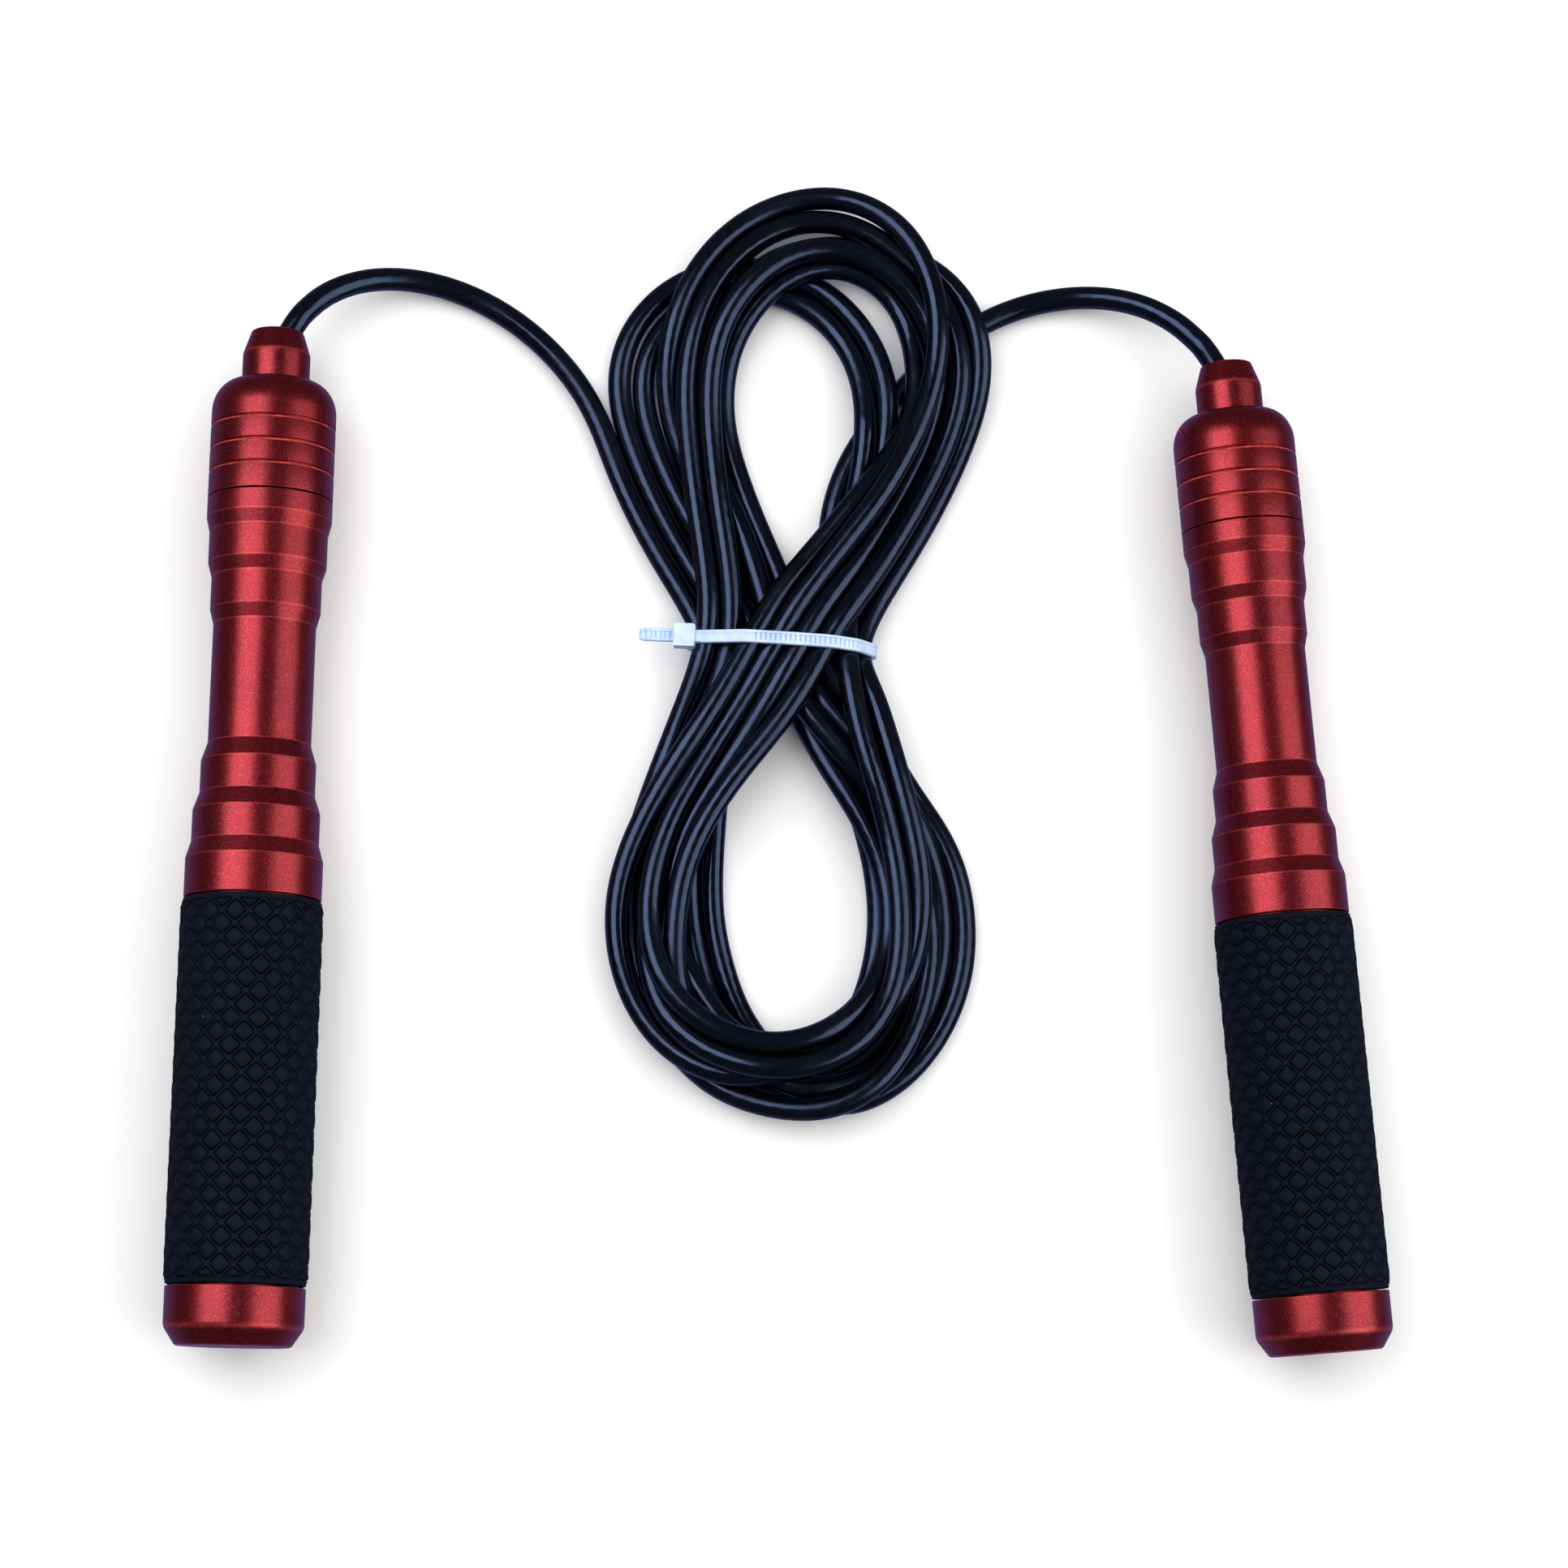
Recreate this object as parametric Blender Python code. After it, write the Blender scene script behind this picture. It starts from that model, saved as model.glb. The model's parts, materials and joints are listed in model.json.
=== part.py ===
"""A jump rope at rest on a table: two turned handles with silicone grips and ball-bearing swivels,
joined by one plastic-covered wire rope that is wound into a figure-of-eight hank and tied at its waist.

The origin is on the table, under the middle of the two handles. +Z is up, and +Y is the way the handles'
noses point. Every size below is in millimetres, and MM turns it into metres.

A handle is described by stations along its axis: station 0 is on the nose, just in front of the head, and
stations grow towards the end cap.
"""

import math

import bmesh
import bpy
from mathutils import Matrix, Vector

MM = 0.001
SEGMENTS = 24
INNER_SEGMENTS = 20
RACE_SEGMENTS = 16
GAP = 0.3

# Handle, outside
NOSE_TIP = -9.1
NOSE_CONE_START = -4.6
NOSE_TIP_RADIUS = 4.95
NOSE_RADIUS = 6.45
SHOULDER_RADIUS = 7.1
SHOULDER_START = 1.1
SHOULDER_END = 7.3
HEAD_RADIUS = 11.87
HEAD_END = 24.1
GROOVE_STATIONS = (10.2, 14.7, 19.2)
GROOVE_HALF_WIDTH = 0.6
GROOVE_DEPTH = 0.65
HEAD_STEP_START = 28.2
# Stations and radii of the stepped neck, from the head towards the grip
NECK_STEPS = (
    (HEAD_STEP_START, HEAD_RADIUS),
    (30.9, 11.23),
    (37.0, 11.23),
    (39.7, 10.45),
    (46.0, 10.45),
    (48.8, 9.71),
    (71.7, 9.71),
    (75.15, 10.82),
    (81.3, 10.82),
    (84.65, 11.96),
    (90.65, 11.96),
    (93.8, 12.89),
)
GRIP_START = 101.5
GRIP_END = 173.2
GRIP_RADIUS = 13.35
GRIP_LIP_RADIUS = 13.0
GRIP_LIP_LENGTH = 0.9
GRIP_SEAT_RADIUS = 11.6
END_CAP_RADIUS = 12.97
END_CAP_CHAMFER_START = 180.9
END_CAP_FACE_RADIUS = 10.65
HANDLE_END = 184.4

# Handle, inside
TUBE_BORE_RADIUS = 8.3
SOCKET_RADIUS = 9.5
SPIGOT_RADIUS = SOCKET_RADIUS - GAP
SPIGOT_END = 31.0
PLUG_START = 161.0
PLUG_RADIUS = SOCKET_RADIUS - GAP
PLUG_BORE_RADIUS = 6.5
HEAD_BORE_RADIUS = 8.15
HEAD_LIP = 2.2
BEARING_WIDTH = 5.0
FRONT_BEARING = 2.5
REAR_BEARING = 14.2
OUTER_RACE = (6.9, 7.95)
INNER_RACE = (4.1, 5.1)
BALL_PITCH_RADIUS = 6.0
BALL_RADIUS = 0.75
CAGE_RADIUS = 0.3
BALL_COUNT = 8
SHAFT_RADIUS = 3.85
SHAFT_END = 24.0
CORD_BORE_RADIUS = 2.65
MOUTH_RADIUS = 4.0
MOUTH_DEPTH = 5.0
SPINDLE_NUT = (19.5, 22.5, 6.2)
CIRCLIP = (19.5, 20.5, 6.95, 8.0)
CIRCLIP_ANGLE = 320.0
CORD_STOP = (25.0, 33.0, 5.2)
CLAMP_SCREW_STATION = 29.0
CLAMP_SCREW_RADIUS = 1.5

# Rope, and where each handle lies: its station 0 over the table, and lean of its nose towards +X
ROPE_RADIUS = 2.25
HANDLES = {
    "left": {"at": (-98.28, 88.01), "lean": 1.29},
    "right": {"at": (88.28, 86.52), "lean": -4.53},
}
# Free stretch of rope from each nose to the hank, as points on its centreline. It drops to the table.
LEADS = {
    "left": (
        (-95.9, 99.2, 11.6),
        (-90.7, 105.0, 11.2),
        (-85.0, 108.3, 10.4),
        (-79.8, 109.8, 9.3),
        (-75.4, 110.4, 8.5),
        (-70.2, 110.3, 7.3),
        (-64.3, 109.1, 6.0),
        (-58.5, 106.9, 4.8),
        (-53.5, 104.0, 3.9),
        (-48.6, 100.3, 3.1),
        (-43.7, 95.6, 2.6),
        (-39.0, 90.2, 2.4),
        (-36.9, 87.4, 2.4),
    ),
    "right": (
        (84.2, 98.3, 11.6),
        (81.8, 101.4, 11.4),
        (78.2, 105.0, 10.8),
        (71.8, 108.9, 9.6),
        (66.2, 110.4, 8.3),
        (60.7, 110.8, 6.8),
        (55.1, 110.4, 5.2),
        (49.9, 109.3, 3.8),
        (44.8, 107.5, 2.8),
        (42.6, 106.6, 2.5),
    ),
}
LEAD_STEP = 9.5

# Hank: outline of the figure of eight and of its two eyes, each a closed smooth curve
HANK_OUTLINE = (
    (-16.8, 38.8),
    (-27.2, 66.0),
    (-35.2, 89.0),
    (-28.0, 108.0),
    (-8.5, 122.5),
    (8.0, 131.8),
    (25.0, 124.6),
    (37.6, 111.5),
    (41.3, 94.0),
    (36.0, 72.0),
    (17.8, 38.4),
    (25.6, 14.0),
    (35.2, -2.0),
    (37.2, -21.0),
    (26.5, -45.6),
    (3.2, -54.4),
    (-20.0, -45.2),
    (-33.2, -27.0),
    (-33.4, -8.0),
    (-24.8, 14.0),
)
UPPER_EYE = ((-8.4, 86.0), (-2.0, 106.0), (9.6, 100.5), (14.6, 82.0), (0.6, 55.0))
LOWER_EYE = ((1.8, 24.0), (-11.6, -12.0), (0.5, -36.2), (16.4, -18.0))
HANK_BOTTOM = 0.1
HANK_TOP = 13.0
CURVE_RESOLUTION = 5

# Cable tie round the waist of the hank
TIE_CENTRE = (0.5, 38.6)
TIE_TURN = -2.8
TIE_INNER_WIDTH = 36.2
TIE_INNER_BOTTOM = 1.2
TIE_THICKNESS = 1.1
TIE_WIDTH = 2.5
TIE_CORNER_RADIUS = 1.2
TIE_HEAD = (4.1, 4.7, 3.6)
TIE_TAIL_LENGTH = 6.5
NOTCH_HALF_WIDTH = 1.8

# Material: colour, roughness, metallic
MATERIALS = {
    "red_aluminium": ((0.35, 0.012, 0.022), 0.32, 1.0),
    "blue_silicone": ((0.012, 0.016, 0.035), 0.62, 0.0),
    "steel": ((0.55, 0.56, 0.58), 0.28, 1.0),
    "brass": ((0.62, 0.44, 0.17), 0.34, 1.0),
    "black_pvc": ((0.012, 0.012, 0.015), 0.25, 0.0),
    "nylon": ((0.80, 0.86, 0.92), 0.4, 0.0),
}


def clear_scene():
    for item in list(bpy.data.objects):
        bpy.data.objects.remove(item, do_unlink=True)


def make_materials():
    made = {}
    for name, (colour, roughness, metallic) in MATERIALS.items():
        material = bpy.data.materials.new(name)
        material.use_nodes = True
        shader = material.node_tree.nodes["Principled BSDF"]
        shader.inputs["Base Color"].default_value = (*colour, 1.0)
        shader.inputs["Roughness"].default_value = roughness
        shader.inputs["Metallic"].default_value = metallic
        made[name] = material
    return made


def add_object(name, data, material, parent=None):
    item = bpy.data.objects.new(name, data)
    bpy.context.scene.collection.objects.link(item)
    item.parent = parent
    if material is not None:
        data.materials.append(material)
    return item


def mesh_object(name, shape, material, parent=None):
    """Turns a bmesh into an object that is smooth except at its real edges."""
    bmesh.ops.recalc_face_normals(shape, faces=shape.faces)
    mesh = bpy.data.meshes.new(name)
    shape.to_mesh(mesh)
    shape.free()
    mesh.shade_smooth()
    mesh.set_sharp_from_angle(angle=math.radians(28))
    return add_object(name, mesh, material, parent)


def hex_factor(angle):
    """Radius of a regular hexagon at this angle, over the radius of its corners."""
    return math.cos(math.pi / 6) / math.cos(angle % (math.pi / 3) - math.pi / 6)


def turned(name, outline, material, parent, segments=SEGMENTS, hexagonal=False):
    """Turns a closed outline of (station, radius) points about the handle's axis."""
    shape = bmesh.new()
    outside = max(radius for _, radius in outline)
    rings = []
    for station, radius in outline:
        if radius == 0:
            rings.append([shape.verts.new((0, 0, -station * MM))])
            continue
        ring = []
        for step in range(segments):
            angle = 2 * math.pi * step / segments
            reach = radius * MM
            if hexagonal and radius == outside:
                reach *= hex_factor(angle)
            ring.append(shape.verts.new((reach * math.cos(angle), reach * math.sin(angle), -station * MM)))
        rings.append(ring)
    for index, ring in enumerate(rings):
        after = rings[(index + 1) % len(rings)]
        for step in range(segments):
            corners = (
                ring[step % len(ring)],
                ring[(step + 1) % len(ring)],
                after[(step + 1) % len(after)],
                after[step % len(after)],
            )
            corners = tuple(dict.fromkeys(corners))
            if len(corners) > 2:
                shape.faces.new(corners)
    return mesh_object(name, shape, material, parent)


def tube_outline(start, end, inner, outer):
    return ((start, inner), (start, outer), (end, outer), (end, inner))


def head_outline():
    outline = [(HEAD_LIP, NOSE_RADIUS + GAP), (SHOULDER_START, NOSE_RADIUS + GAP)]
    steps = 5
    for step in range(steps + 1):
        angle = math.pi / 2 * step / steps
        radius = SHOULDER_RADIUS + (HEAD_RADIUS - SHOULDER_RADIUS) * math.sin(angle)
        station = SHOULDER_START + (SHOULDER_END - SHOULDER_START) * (1 - math.cos(angle))
        outline.append((station, radius))
    for station in GROOVE_STATIONS:
        outline.append((station - GROOVE_HALF_WIDTH, HEAD_RADIUS))
        outline.append((station, HEAD_RADIUS - GROOVE_DEPTH))
        outline.append((station + GROOVE_HALF_WIDTH, HEAD_RADIUS))
    outline += [(HEAD_END, HEAD_RADIUS), (HEAD_END, SPIGOT_RADIUS), (SPIGOT_END, SPIGOT_RADIUS)]
    return outline + [(SPIGOT_END, HEAD_BORE_RADIUS), (HEAD_LIP, HEAD_BORE_RADIUS)]


def handle_tube_outline():
    start = HEAD_END + GAP
    grip_shoulder = GRIP_START - GAP
    neck_radius = NECK_STEPS[-1][1]
    outline = [(start, SOCKET_RADIUS), (start, HEAD_RADIUS), *NECK_STEPS]
    outline += [(grip_shoulder, neck_radius), (grip_shoulder, GRIP_SEAT_RADIUS), (GRIP_END, GRIP_SEAT_RADIUS)]
    outline += [(GRIP_END, SOCKET_RADIUS), (PLUG_START - GAP, SOCKET_RADIUS)]
    outline += [(PLUG_START - GAP, TUBE_BORE_RADIUS), (SPIGOT_END + GAP, TUBE_BORE_RADIUS)]
    return outline + [(SPIGOT_END + GAP, SOCKET_RADIUS)]


def grip_outline():
    seat = GRIP_SEAT_RADIUS + GAP
    return (
        (GRIP_START, seat),
        (GRIP_START, GRIP_LIP_RADIUS),
        (GRIP_START + GRIP_LIP_LENGTH, GRIP_LIP_RADIUS),
        (GRIP_START + GRIP_LIP_LENGTH, GRIP_RADIUS),
        (GRIP_END - GRIP_LIP_LENGTH, GRIP_RADIUS),
        (GRIP_END - GRIP_LIP_LENGTH, GRIP_LIP_RADIUS),
        (GRIP_END, GRIP_LIP_RADIUS),
        (GRIP_END, seat),
    )


def end_cap_outline():
    rim = GRIP_END + GAP
    return (
        (rim, PLUG_RADIUS),
        (rim, END_CAP_RADIUS),
        (END_CAP_CHAMFER_START, END_CAP_RADIUS),
        (HANDLE_END, END_CAP_FACE_RADIUS),
        (HANDLE_END, 0),
        (rim, 0),
        (rim, PLUG_BORE_RADIUS),
        (PLUG_START, PLUG_BORE_RADIUS),
        (PLUG_START, PLUG_RADIUS),
    )


def spindle_outline():
    flange_end = HEAD_LIP
    return (
        (NOSE_TIP + MOUTH_DEPTH, CORD_BORE_RADIUS),
        (NOSE_TIP, MOUTH_RADIUS),
        (NOSE_TIP, NOSE_TIP_RADIUS),
        (NOSE_CONE_START, NOSE_RADIUS),
        (flange_end, NOSE_RADIUS),
        (flange_end, SHAFT_RADIUS),
        (SHAFT_END, SHAFT_RADIUS),
        (SHAFT_END, CORD_BORE_RADIUS),
    )


def ball_ring(name, start, material, parent):
    """The balls of one bearing, joined by their cage: a ring whose thickness swells to a ball eight times."""
    shape = bmesh.new()
    per_ball = 6
    sides = 6
    steps = BALL_COUNT * per_ball
    middle = -(start + BEARING_WIDTH / 2) * MM
    rings = []
    for step in range(steps):
        angle = 2 * math.pi * step / steps
        from_ball = (step + per_ball / 2) % per_ball - per_ball / 2
        along = BALL_PITCH_RADIUS * 2 * math.pi * from_ball / steps
        thick = math.sqrt(max(BALL_RADIUS**2 - along**2, CAGE_RADIUS**2))
        ring = []
        for side in range(sides):
            turn = 2 * math.pi * side / sides
            reach = (BALL_PITCH_RADIUS + thick * math.cos(turn)) * MM
            height = middle + thick * math.sin(turn) * MM
            ring.append(shape.verts.new((reach * math.cos(angle), reach * math.sin(angle), height)))
        rings.append(ring)
    for step, ring in enumerate(rings):
        after = rings[(step + 1) % steps]
        for side in range(sides):
            beside = (side + 1) % sides
            shape.faces.new((ring[side], after[side], after[beside], ring[beside]))
    return mesh_object(name, shape, material, parent)


def circlip(name, material, parent):
    """A spring ring with a gap, which holds the bearings in the head."""
    start, end, inner, outer = CIRCLIP
    shape = bmesh.new()
    section_outline = tube_outline(start, end, inner, outer)
    corners = [shape.verts.new((radius * MM, 0, -station * MM)) for station, radius in section_outline]
    section = shape.faces.new(corners)
    bmesh.ops.spin(
        shape,
        geom=[section, *section.edges, *section.verts],
        axis=(0, 0, 1),
        cent=(0, 0, 0),
        angle=math.radians(CIRCLIP_ANGLE),
        steps=18,
    )
    return mesh_object(name, shape, material, parent)


def cord_stop(name, material, parent):
    """A barrel that the rope's end passes through, drilled from the side for its clamp screw."""
    start, end, outer = CORD_STOP
    stop = turned(name, tube_outline(start, end, ROPE_RADIUS + GAP, outer), material, parent, RACE_SEGMENTS)
    shape = bmesh.new()
    bmesh.ops.create_cone(
        shape,
        cap_ends=True,
        segments=12,
        radius1=(CLAMP_SCREW_RADIUS + GAP) * MM,
        radius2=(CLAMP_SCREW_RADIUS + GAP) * MM,
        depth=outer * MM,
    )
    cutter = mesh_object(name + "_drill", shape, None, parent)
    cutter.location = (0, -(outer + ROPE_RADIUS) / 2 * MM - GAP * MM, -CLAMP_SCREW_STATION * MM)
    cutter.rotation_euler = (math.pi / 2, 0, 0)
    cutter.hide_render = True
    cutter.display_type = "WIRE"
    drill = stop.modifiers.new("screw_hole", "BOOLEAN")
    drill.operation = "DIFFERENCE"
    drill.object = cutter
    return stop


def clamp_screw(name, material, parent):
    """A headless screw that points at the rope, with a hexagon socket in its outer end."""
    tip = ROPE_RADIUS + GAP
    top = CORD_STOP[2] + 0.4
    socket_depth = 1.4
    outline = (
        (tip, 0),
        (tip, CLAMP_SCREW_RADIUS * 0.6),
        (tip + 0.6, CLAMP_SCREW_RADIUS),
        (top, CLAMP_SCREW_RADIUS),
        (top, CLAMP_SCREW_RADIUS * 0.55),
        (top - socket_depth, CLAMP_SCREW_RADIUS * 0.55),
        (top - socket_depth, 0),
    )
    screw = turned(name, outline, material, parent, 12)
    screw.location = (0, 0, -CLAMP_SCREW_STATION * MM)
    screw.rotation_euler = (-math.pi / 2, 0, 0)
    return screw


def axis_frame(at, lean):
    """World matrix of a handle's axis: +Z out of the nose, +X level, +Y down, at station 0.

    The handle lies on the front of its head and on the front of its grip, so its nose points a little down.
    """
    grip_rest = GRIP_START + GRIP_LIP_LENGTH
    tilt = math.atan2(GRIP_RADIUS - HEAD_RADIUS, grip_rest - SHOULDER_END)
    height = HEAD_RADIUS * math.cos(tilt) - SHOULDER_END * math.sin(tilt)
    turn = math.radians(lean)
    nose = Vector((math.sin(turn) * math.cos(tilt), math.cos(turn) * math.cos(tilt), -math.sin(tilt)))
    level = Vector((math.cos(turn), -math.sin(turn), 0.0))
    matrix = Matrix((level, nose.cross(level), nose)).transposed().to_4x4()
    matrix.translation = Vector((at[0], at[1], height)) * MM
    return matrix


def add_axis(name, matrix):
    axis = bpy.data.objects.new(name, None)
    axis.empty_display_size = 0.02
    bpy.context.scene.collection.objects.link(axis)
    axis.matrix_world = matrix
    return axis


def handle_pieces(side, looks, axis):
    """What turns with the hand."""
    turned(side + "_head", head_outline(), looks["red_aluminium"], axis)
    turned(side + "_handle_tube", handle_tube_outline(), looks["red_aluminium"], axis)
    turned(side + "_grip", grip_outline(), looks["blue_silicone"], axis)
    turned(side + "_end_cap", end_cap_outline(), looks["red_aluminium"], axis)
    circlip(side + "_circlip", looks["steel"], axis)
    spacer = tube_outline(FRONT_BEARING + BEARING_WIDTH + GAP, REAR_BEARING - GAP, *OUTER_RACE)
    turned(side + "_outer_spacer", spacer, looks["red_aluminium"], axis, RACE_SEGMENTS)
    for place, start in (("front", FRONT_BEARING), ("rear", REAR_BEARING)):
        race = tube_outline(start, start + BEARING_WIDTH, *OUTER_RACE)
        turned(f"{side}_{place}_outer_race", race, looks["steel"], axis, RACE_SEGMENTS)


def spindle_pieces(side, looks, axis):
    """What stays with the rope."""
    turned(side + "_spindle", spindle_outline(), looks["red_aluminium"], axis, INNER_SEGMENTS)
    start, end, radius = SPINDLE_NUT
    nut = tube_outline(start, end, INNER_RACE[0], radius)
    turned(side + "_spindle_nut", nut, looks["steel"], axis, SEGMENTS, hexagonal=True)
    spacer = tube_outline(FRONT_BEARING + BEARING_WIDTH + GAP, REAR_BEARING - GAP, *INNER_RACE)
    turned(side + "_inner_spacer", spacer, looks["steel"], axis, RACE_SEGMENTS)
    for place, start in (("front", FRONT_BEARING), ("rear", REAR_BEARING)):
        race = tube_outline(start, start + BEARING_WIDTH, *INNER_RACE)
        turned(f"{side}_{place}_inner_race", race, looks["steel"], axis, RACE_SEGMENTS)
    cord_stop(side + "_cord_stop", looks["brass"], axis)
    clamp_screw(side + "_clamp_screw", looks["steel"], axis)
    tail = ((NOSE_TIP, 0), (NOSE_TIP, ROPE_RADIUS), (CORD_STOP[1], ROPE_RADIUS), (CORD_STOP[1], 0))
    turned(side + "_rope_tail", tail, looks["black_pvc"], axis, 10)


def ball_pieces(side, looks, axis):
    for place, start in (("front", FRONT_BEARING), ("rear", REAR_BEARING)):
        ball_ring(f"{side}_{place}_balls", start, looks["steel"], axis)


def smooth_route(points, step):
    """Points a step apart on a smooth curve that passes through the given points."""
    padded = [2 * points[0] - points[1], *points, 2 * points[-1] - points[-2]]
    fine = []
    pieces = 24
    for index in range(1, len(padded) - 2):
        before, here, there, after = padded[index - 1 : index + 3]
        for piece in range(pieces):
            t = piece / pieces
            slope = (there - before) * t + (2 * before - 5 * here + 4 * there - after) * t**2
            bend = (3 * here - before - 3 * there + after) * t**3
            fine.append(here + (slope + bend) / 2)
    fine.append(points[-1])
    length = sum((b - a).length for a, b in zip(fine, fine[1:]))
    count = round(length / step)
    route = [fine[0]]
    walked = 0.0
    for a, b in zip(fine, fine[1:]):
        walked += (b - a).length
        if walked >= len(route) * length / count and len(route) < count:
            route.append(b)
    return [*route, fine[-1]]


def lead(side, material):
    """The free stretch of rope between a nose and the hank. It leaves to one side of the nose's flared mouth."""
    route = smooth_route([Vector(point) * MM for point in LEADS[side]], LEAD_STEP * MM)
    curve = bpy.data.curves.new(side + "_lead", "CURVE")
    curve.dimensions = "3D"
    curve.bevel_depth = ROPE_RADIUS * MM
    curve.bevel_resolution = 2
    curve.use_fill_caps = True
    spline = curve.splines.new("POLY")
    spline.points.add(len(route) - 1)
    for point, place in zip(spline.points, route):
        point.co = (*place, 1.0)
    return add_object(side + "_lead", curve, material)


def closed_curve(curve, points):
    spline = curve.splines.new("BEZIER")
    spline.bezier_points.add(len(points) - 1)
    for point, (x, y) in zip(spline.bezier_points, points):
        point.co = (x * MM, y * MM, 0)
        point.handle_left_type = "AUTO"
        point.handle_right_type = "AUTO"
    spline.use_cyclic_u = True
    spline.resolution_u = CURVE_RESOLUTION


def tie_frame():
    matrix = Matrix.Rotation(math.radians(TIE_TURN), 4, "Z")
    matrix.translation = Vector((TIE_CENTRE[0] * MM, TIE_CENTRE[1] * MM, 0))
    return matrix


def box(shape, low, high):
    """Adds a box between two corners, in millimetres."""
    size = [(b - a) * MM for a, b in zip(low, high)]
    middle = [(a + b) / 2 * MM for a, b in zip(low, high)]
    bmesh.ops.create_cube(shape, size=1.0, matrix=Matrix.Translation(middle) @ Matrix.Diagonal((*size, 1.0)))


def rope_hank(material):
    """The space that the turns of rope fill: a flat figure of eight with two eyes, notched for the tie."""
    curve = bpy.data.curves.new("hank_outline", "CURVE")
    curve.dimensions = "2D"
    curve.fill_mode = "BOTH"
    curve.extrude = (HANK_TOP - HANK_BOTTOM) / 2 * MM
    for points in (HANK_OUTLINE, UPPER_EYE, LOWER_EYE):
        closed_curve(curve, points)
    guide = add_object("hank_outline", curve, None)
    guide.hide_render = True
    guide.display_type = "WIRE"
    shape = bmesh.new()
    shape.from_mesh(bpy.data.meshes.new_from_object(guide))
    bmesh.ops.remove_doubles(shape, verts=shape.verts, dist=1e-6)
    hank = mesh_object("rope_hank", shape, material)
    hank.location = (0, 0, (HANK_TOP + HANK_BOTTOM) / 2 * MM)

    shape = bmesh.new()
    reach = TIE_INNER_WIDTH
    box(shape, (-reach, -NOTCH_HALF_WIDTH, -1.0), (reach, NOTCH_HALF_WIDTH, TIE_INNER_BOTTOM + GAP))
    cutter = mesh_object("tie_notch", shape, None)
    cutter.matrix_world = tie_frame()
    cutter.hide_render = True
    cutter.display_type = "WIRE"
    notch = hank.modifiers.new("tie_notch", "BOOLEAN")
    notch.operation = "DIFFERENCE"
    notch.object = cutter
    return hank


def rounded_rectangle(half_width, low, high, radius):
    """Points round a rectangle in X and Z whose corners are arcs."""
    points = []
    arc_steps = 4
    corners = (
        (half_width - radius, high - radius, 0),
        (radius - half_width, high - radius, 1),
        (radius - half_width, low + radius, 2),
        (half_width - radius, low + radius, 3),
    )
    for x, z, quarter in corners:
        for step in range(arc_steps + 1):
            angle = math.pi / 2 * (quarter + step / arc_steps)
            points.append((x + radius * math.cos(angle), z + radius * math.sin(angle)))
    return points


def cable_tie(material):
    """A flat strap loop round the waist, with its head at the left and its cut tail beyond."""
    bottom = TIE_INNER_BOTTOM
    top = HANK_TOP + GAP
    half = TIE_INNER_WIDTH / 2
    inner = rounded_rectangle(half, bottom, top, TIE_CORNER_RADIUS)
    outer = rounded_rectangle(
        half + TIE_THICKNESS, bottom - TIE_THICKNESS, top + TIE_THICKNESS, TIE_CORNER_RADIUS + TIE_THICKNESS
    )
    shape = bmesh.new()
    rings = []
    for x_inner, x_outer in zip(inner, outer):
        ring = []
        for (x, z), y in ((x_inner, -1), (x_outer, -1), (x_outer, 1), (x_inner, 1)):
            ring.append(shape.verts.new((x * MM, y * TIE_WIDTH / 2 * MM, z * MM)))
        rings.append(ring)
    for index, ring in enumerate(rings):
        after = rings[(index + 1) % len(rings)]
        for corner in range(4):
            beside = (corner + 1) % 4
            shape.faces.new((ring[corner], ring[beside], after[beside], after[corner]))
    tie = mesh_object("cable_tie", shape, material)
    tie.matrix_world = tie_frame()

    length, width, height = TIE_HEAD
    edge = -(half + TIE_THICKNESS / 2)
    shape = bmesh.new()
    box(shape, (edge - length, -width / 2, top - height), (edge, width / 2, top + TIE_THICKNESS * 0.5))
    head = mesh_object("tie_head_block", shape, None)
    shape = bmesh.new()
    tail_start = edge - length - TIE_TAIL_LENGTH
    box(shape, (tail_start, -TIE_WIDTH / 2, top - 2.2), (edge - 1.0, TIE_WIDTH / 2, top - 2.2 + TIE_THICKNESS))
    tail = mesh_object("tie_tail_block", shape, None)
    for block in (head, tail):
        block.matrix_world = tie_frame()
        block.hide_render = True
        block.display_type = "WIRE"
        union = tie.modifiers.new(block.name, "BOOLEAN")
        union.operation = "UNION"
        union.object = block
    return tie


def main():
    clear_scene()
    looks = make_materials()
    for side, handle in HANDLES.items():
        matrix = axis_frame(handle["at"], handle["lean"])
        handle_pieces(side, looks, add_axis(side + "_handle_axis", matrix))
        spindle_pieces(side, looks, add_axis(side + "_spindle_axis", matrix))
        ball_pieces(side, looks, add_axis(side + "_ball_axis", matrix))
        lead(side, looks["black_pvc"])
    rope_hank(looks["black_pvc"])
    cable_tie(looks["nylon"])


main()
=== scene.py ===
"""Looks of the jump rope: the one long rope wound into its tied hank, the turned and anodised handles, the
moulded grips and the cable tie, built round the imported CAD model.

Sizes in this script are in millimetres, and MM turns them into metres. A handle is described, as in the CAD
source, by stations along its axis: station 0 is on the nose, just in front of the head, and stations grow
towards the end cap.
"""

import json
import math

import bmesh
import bpy
import numpy as np
from mathutils import Matrix, Vector


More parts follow.
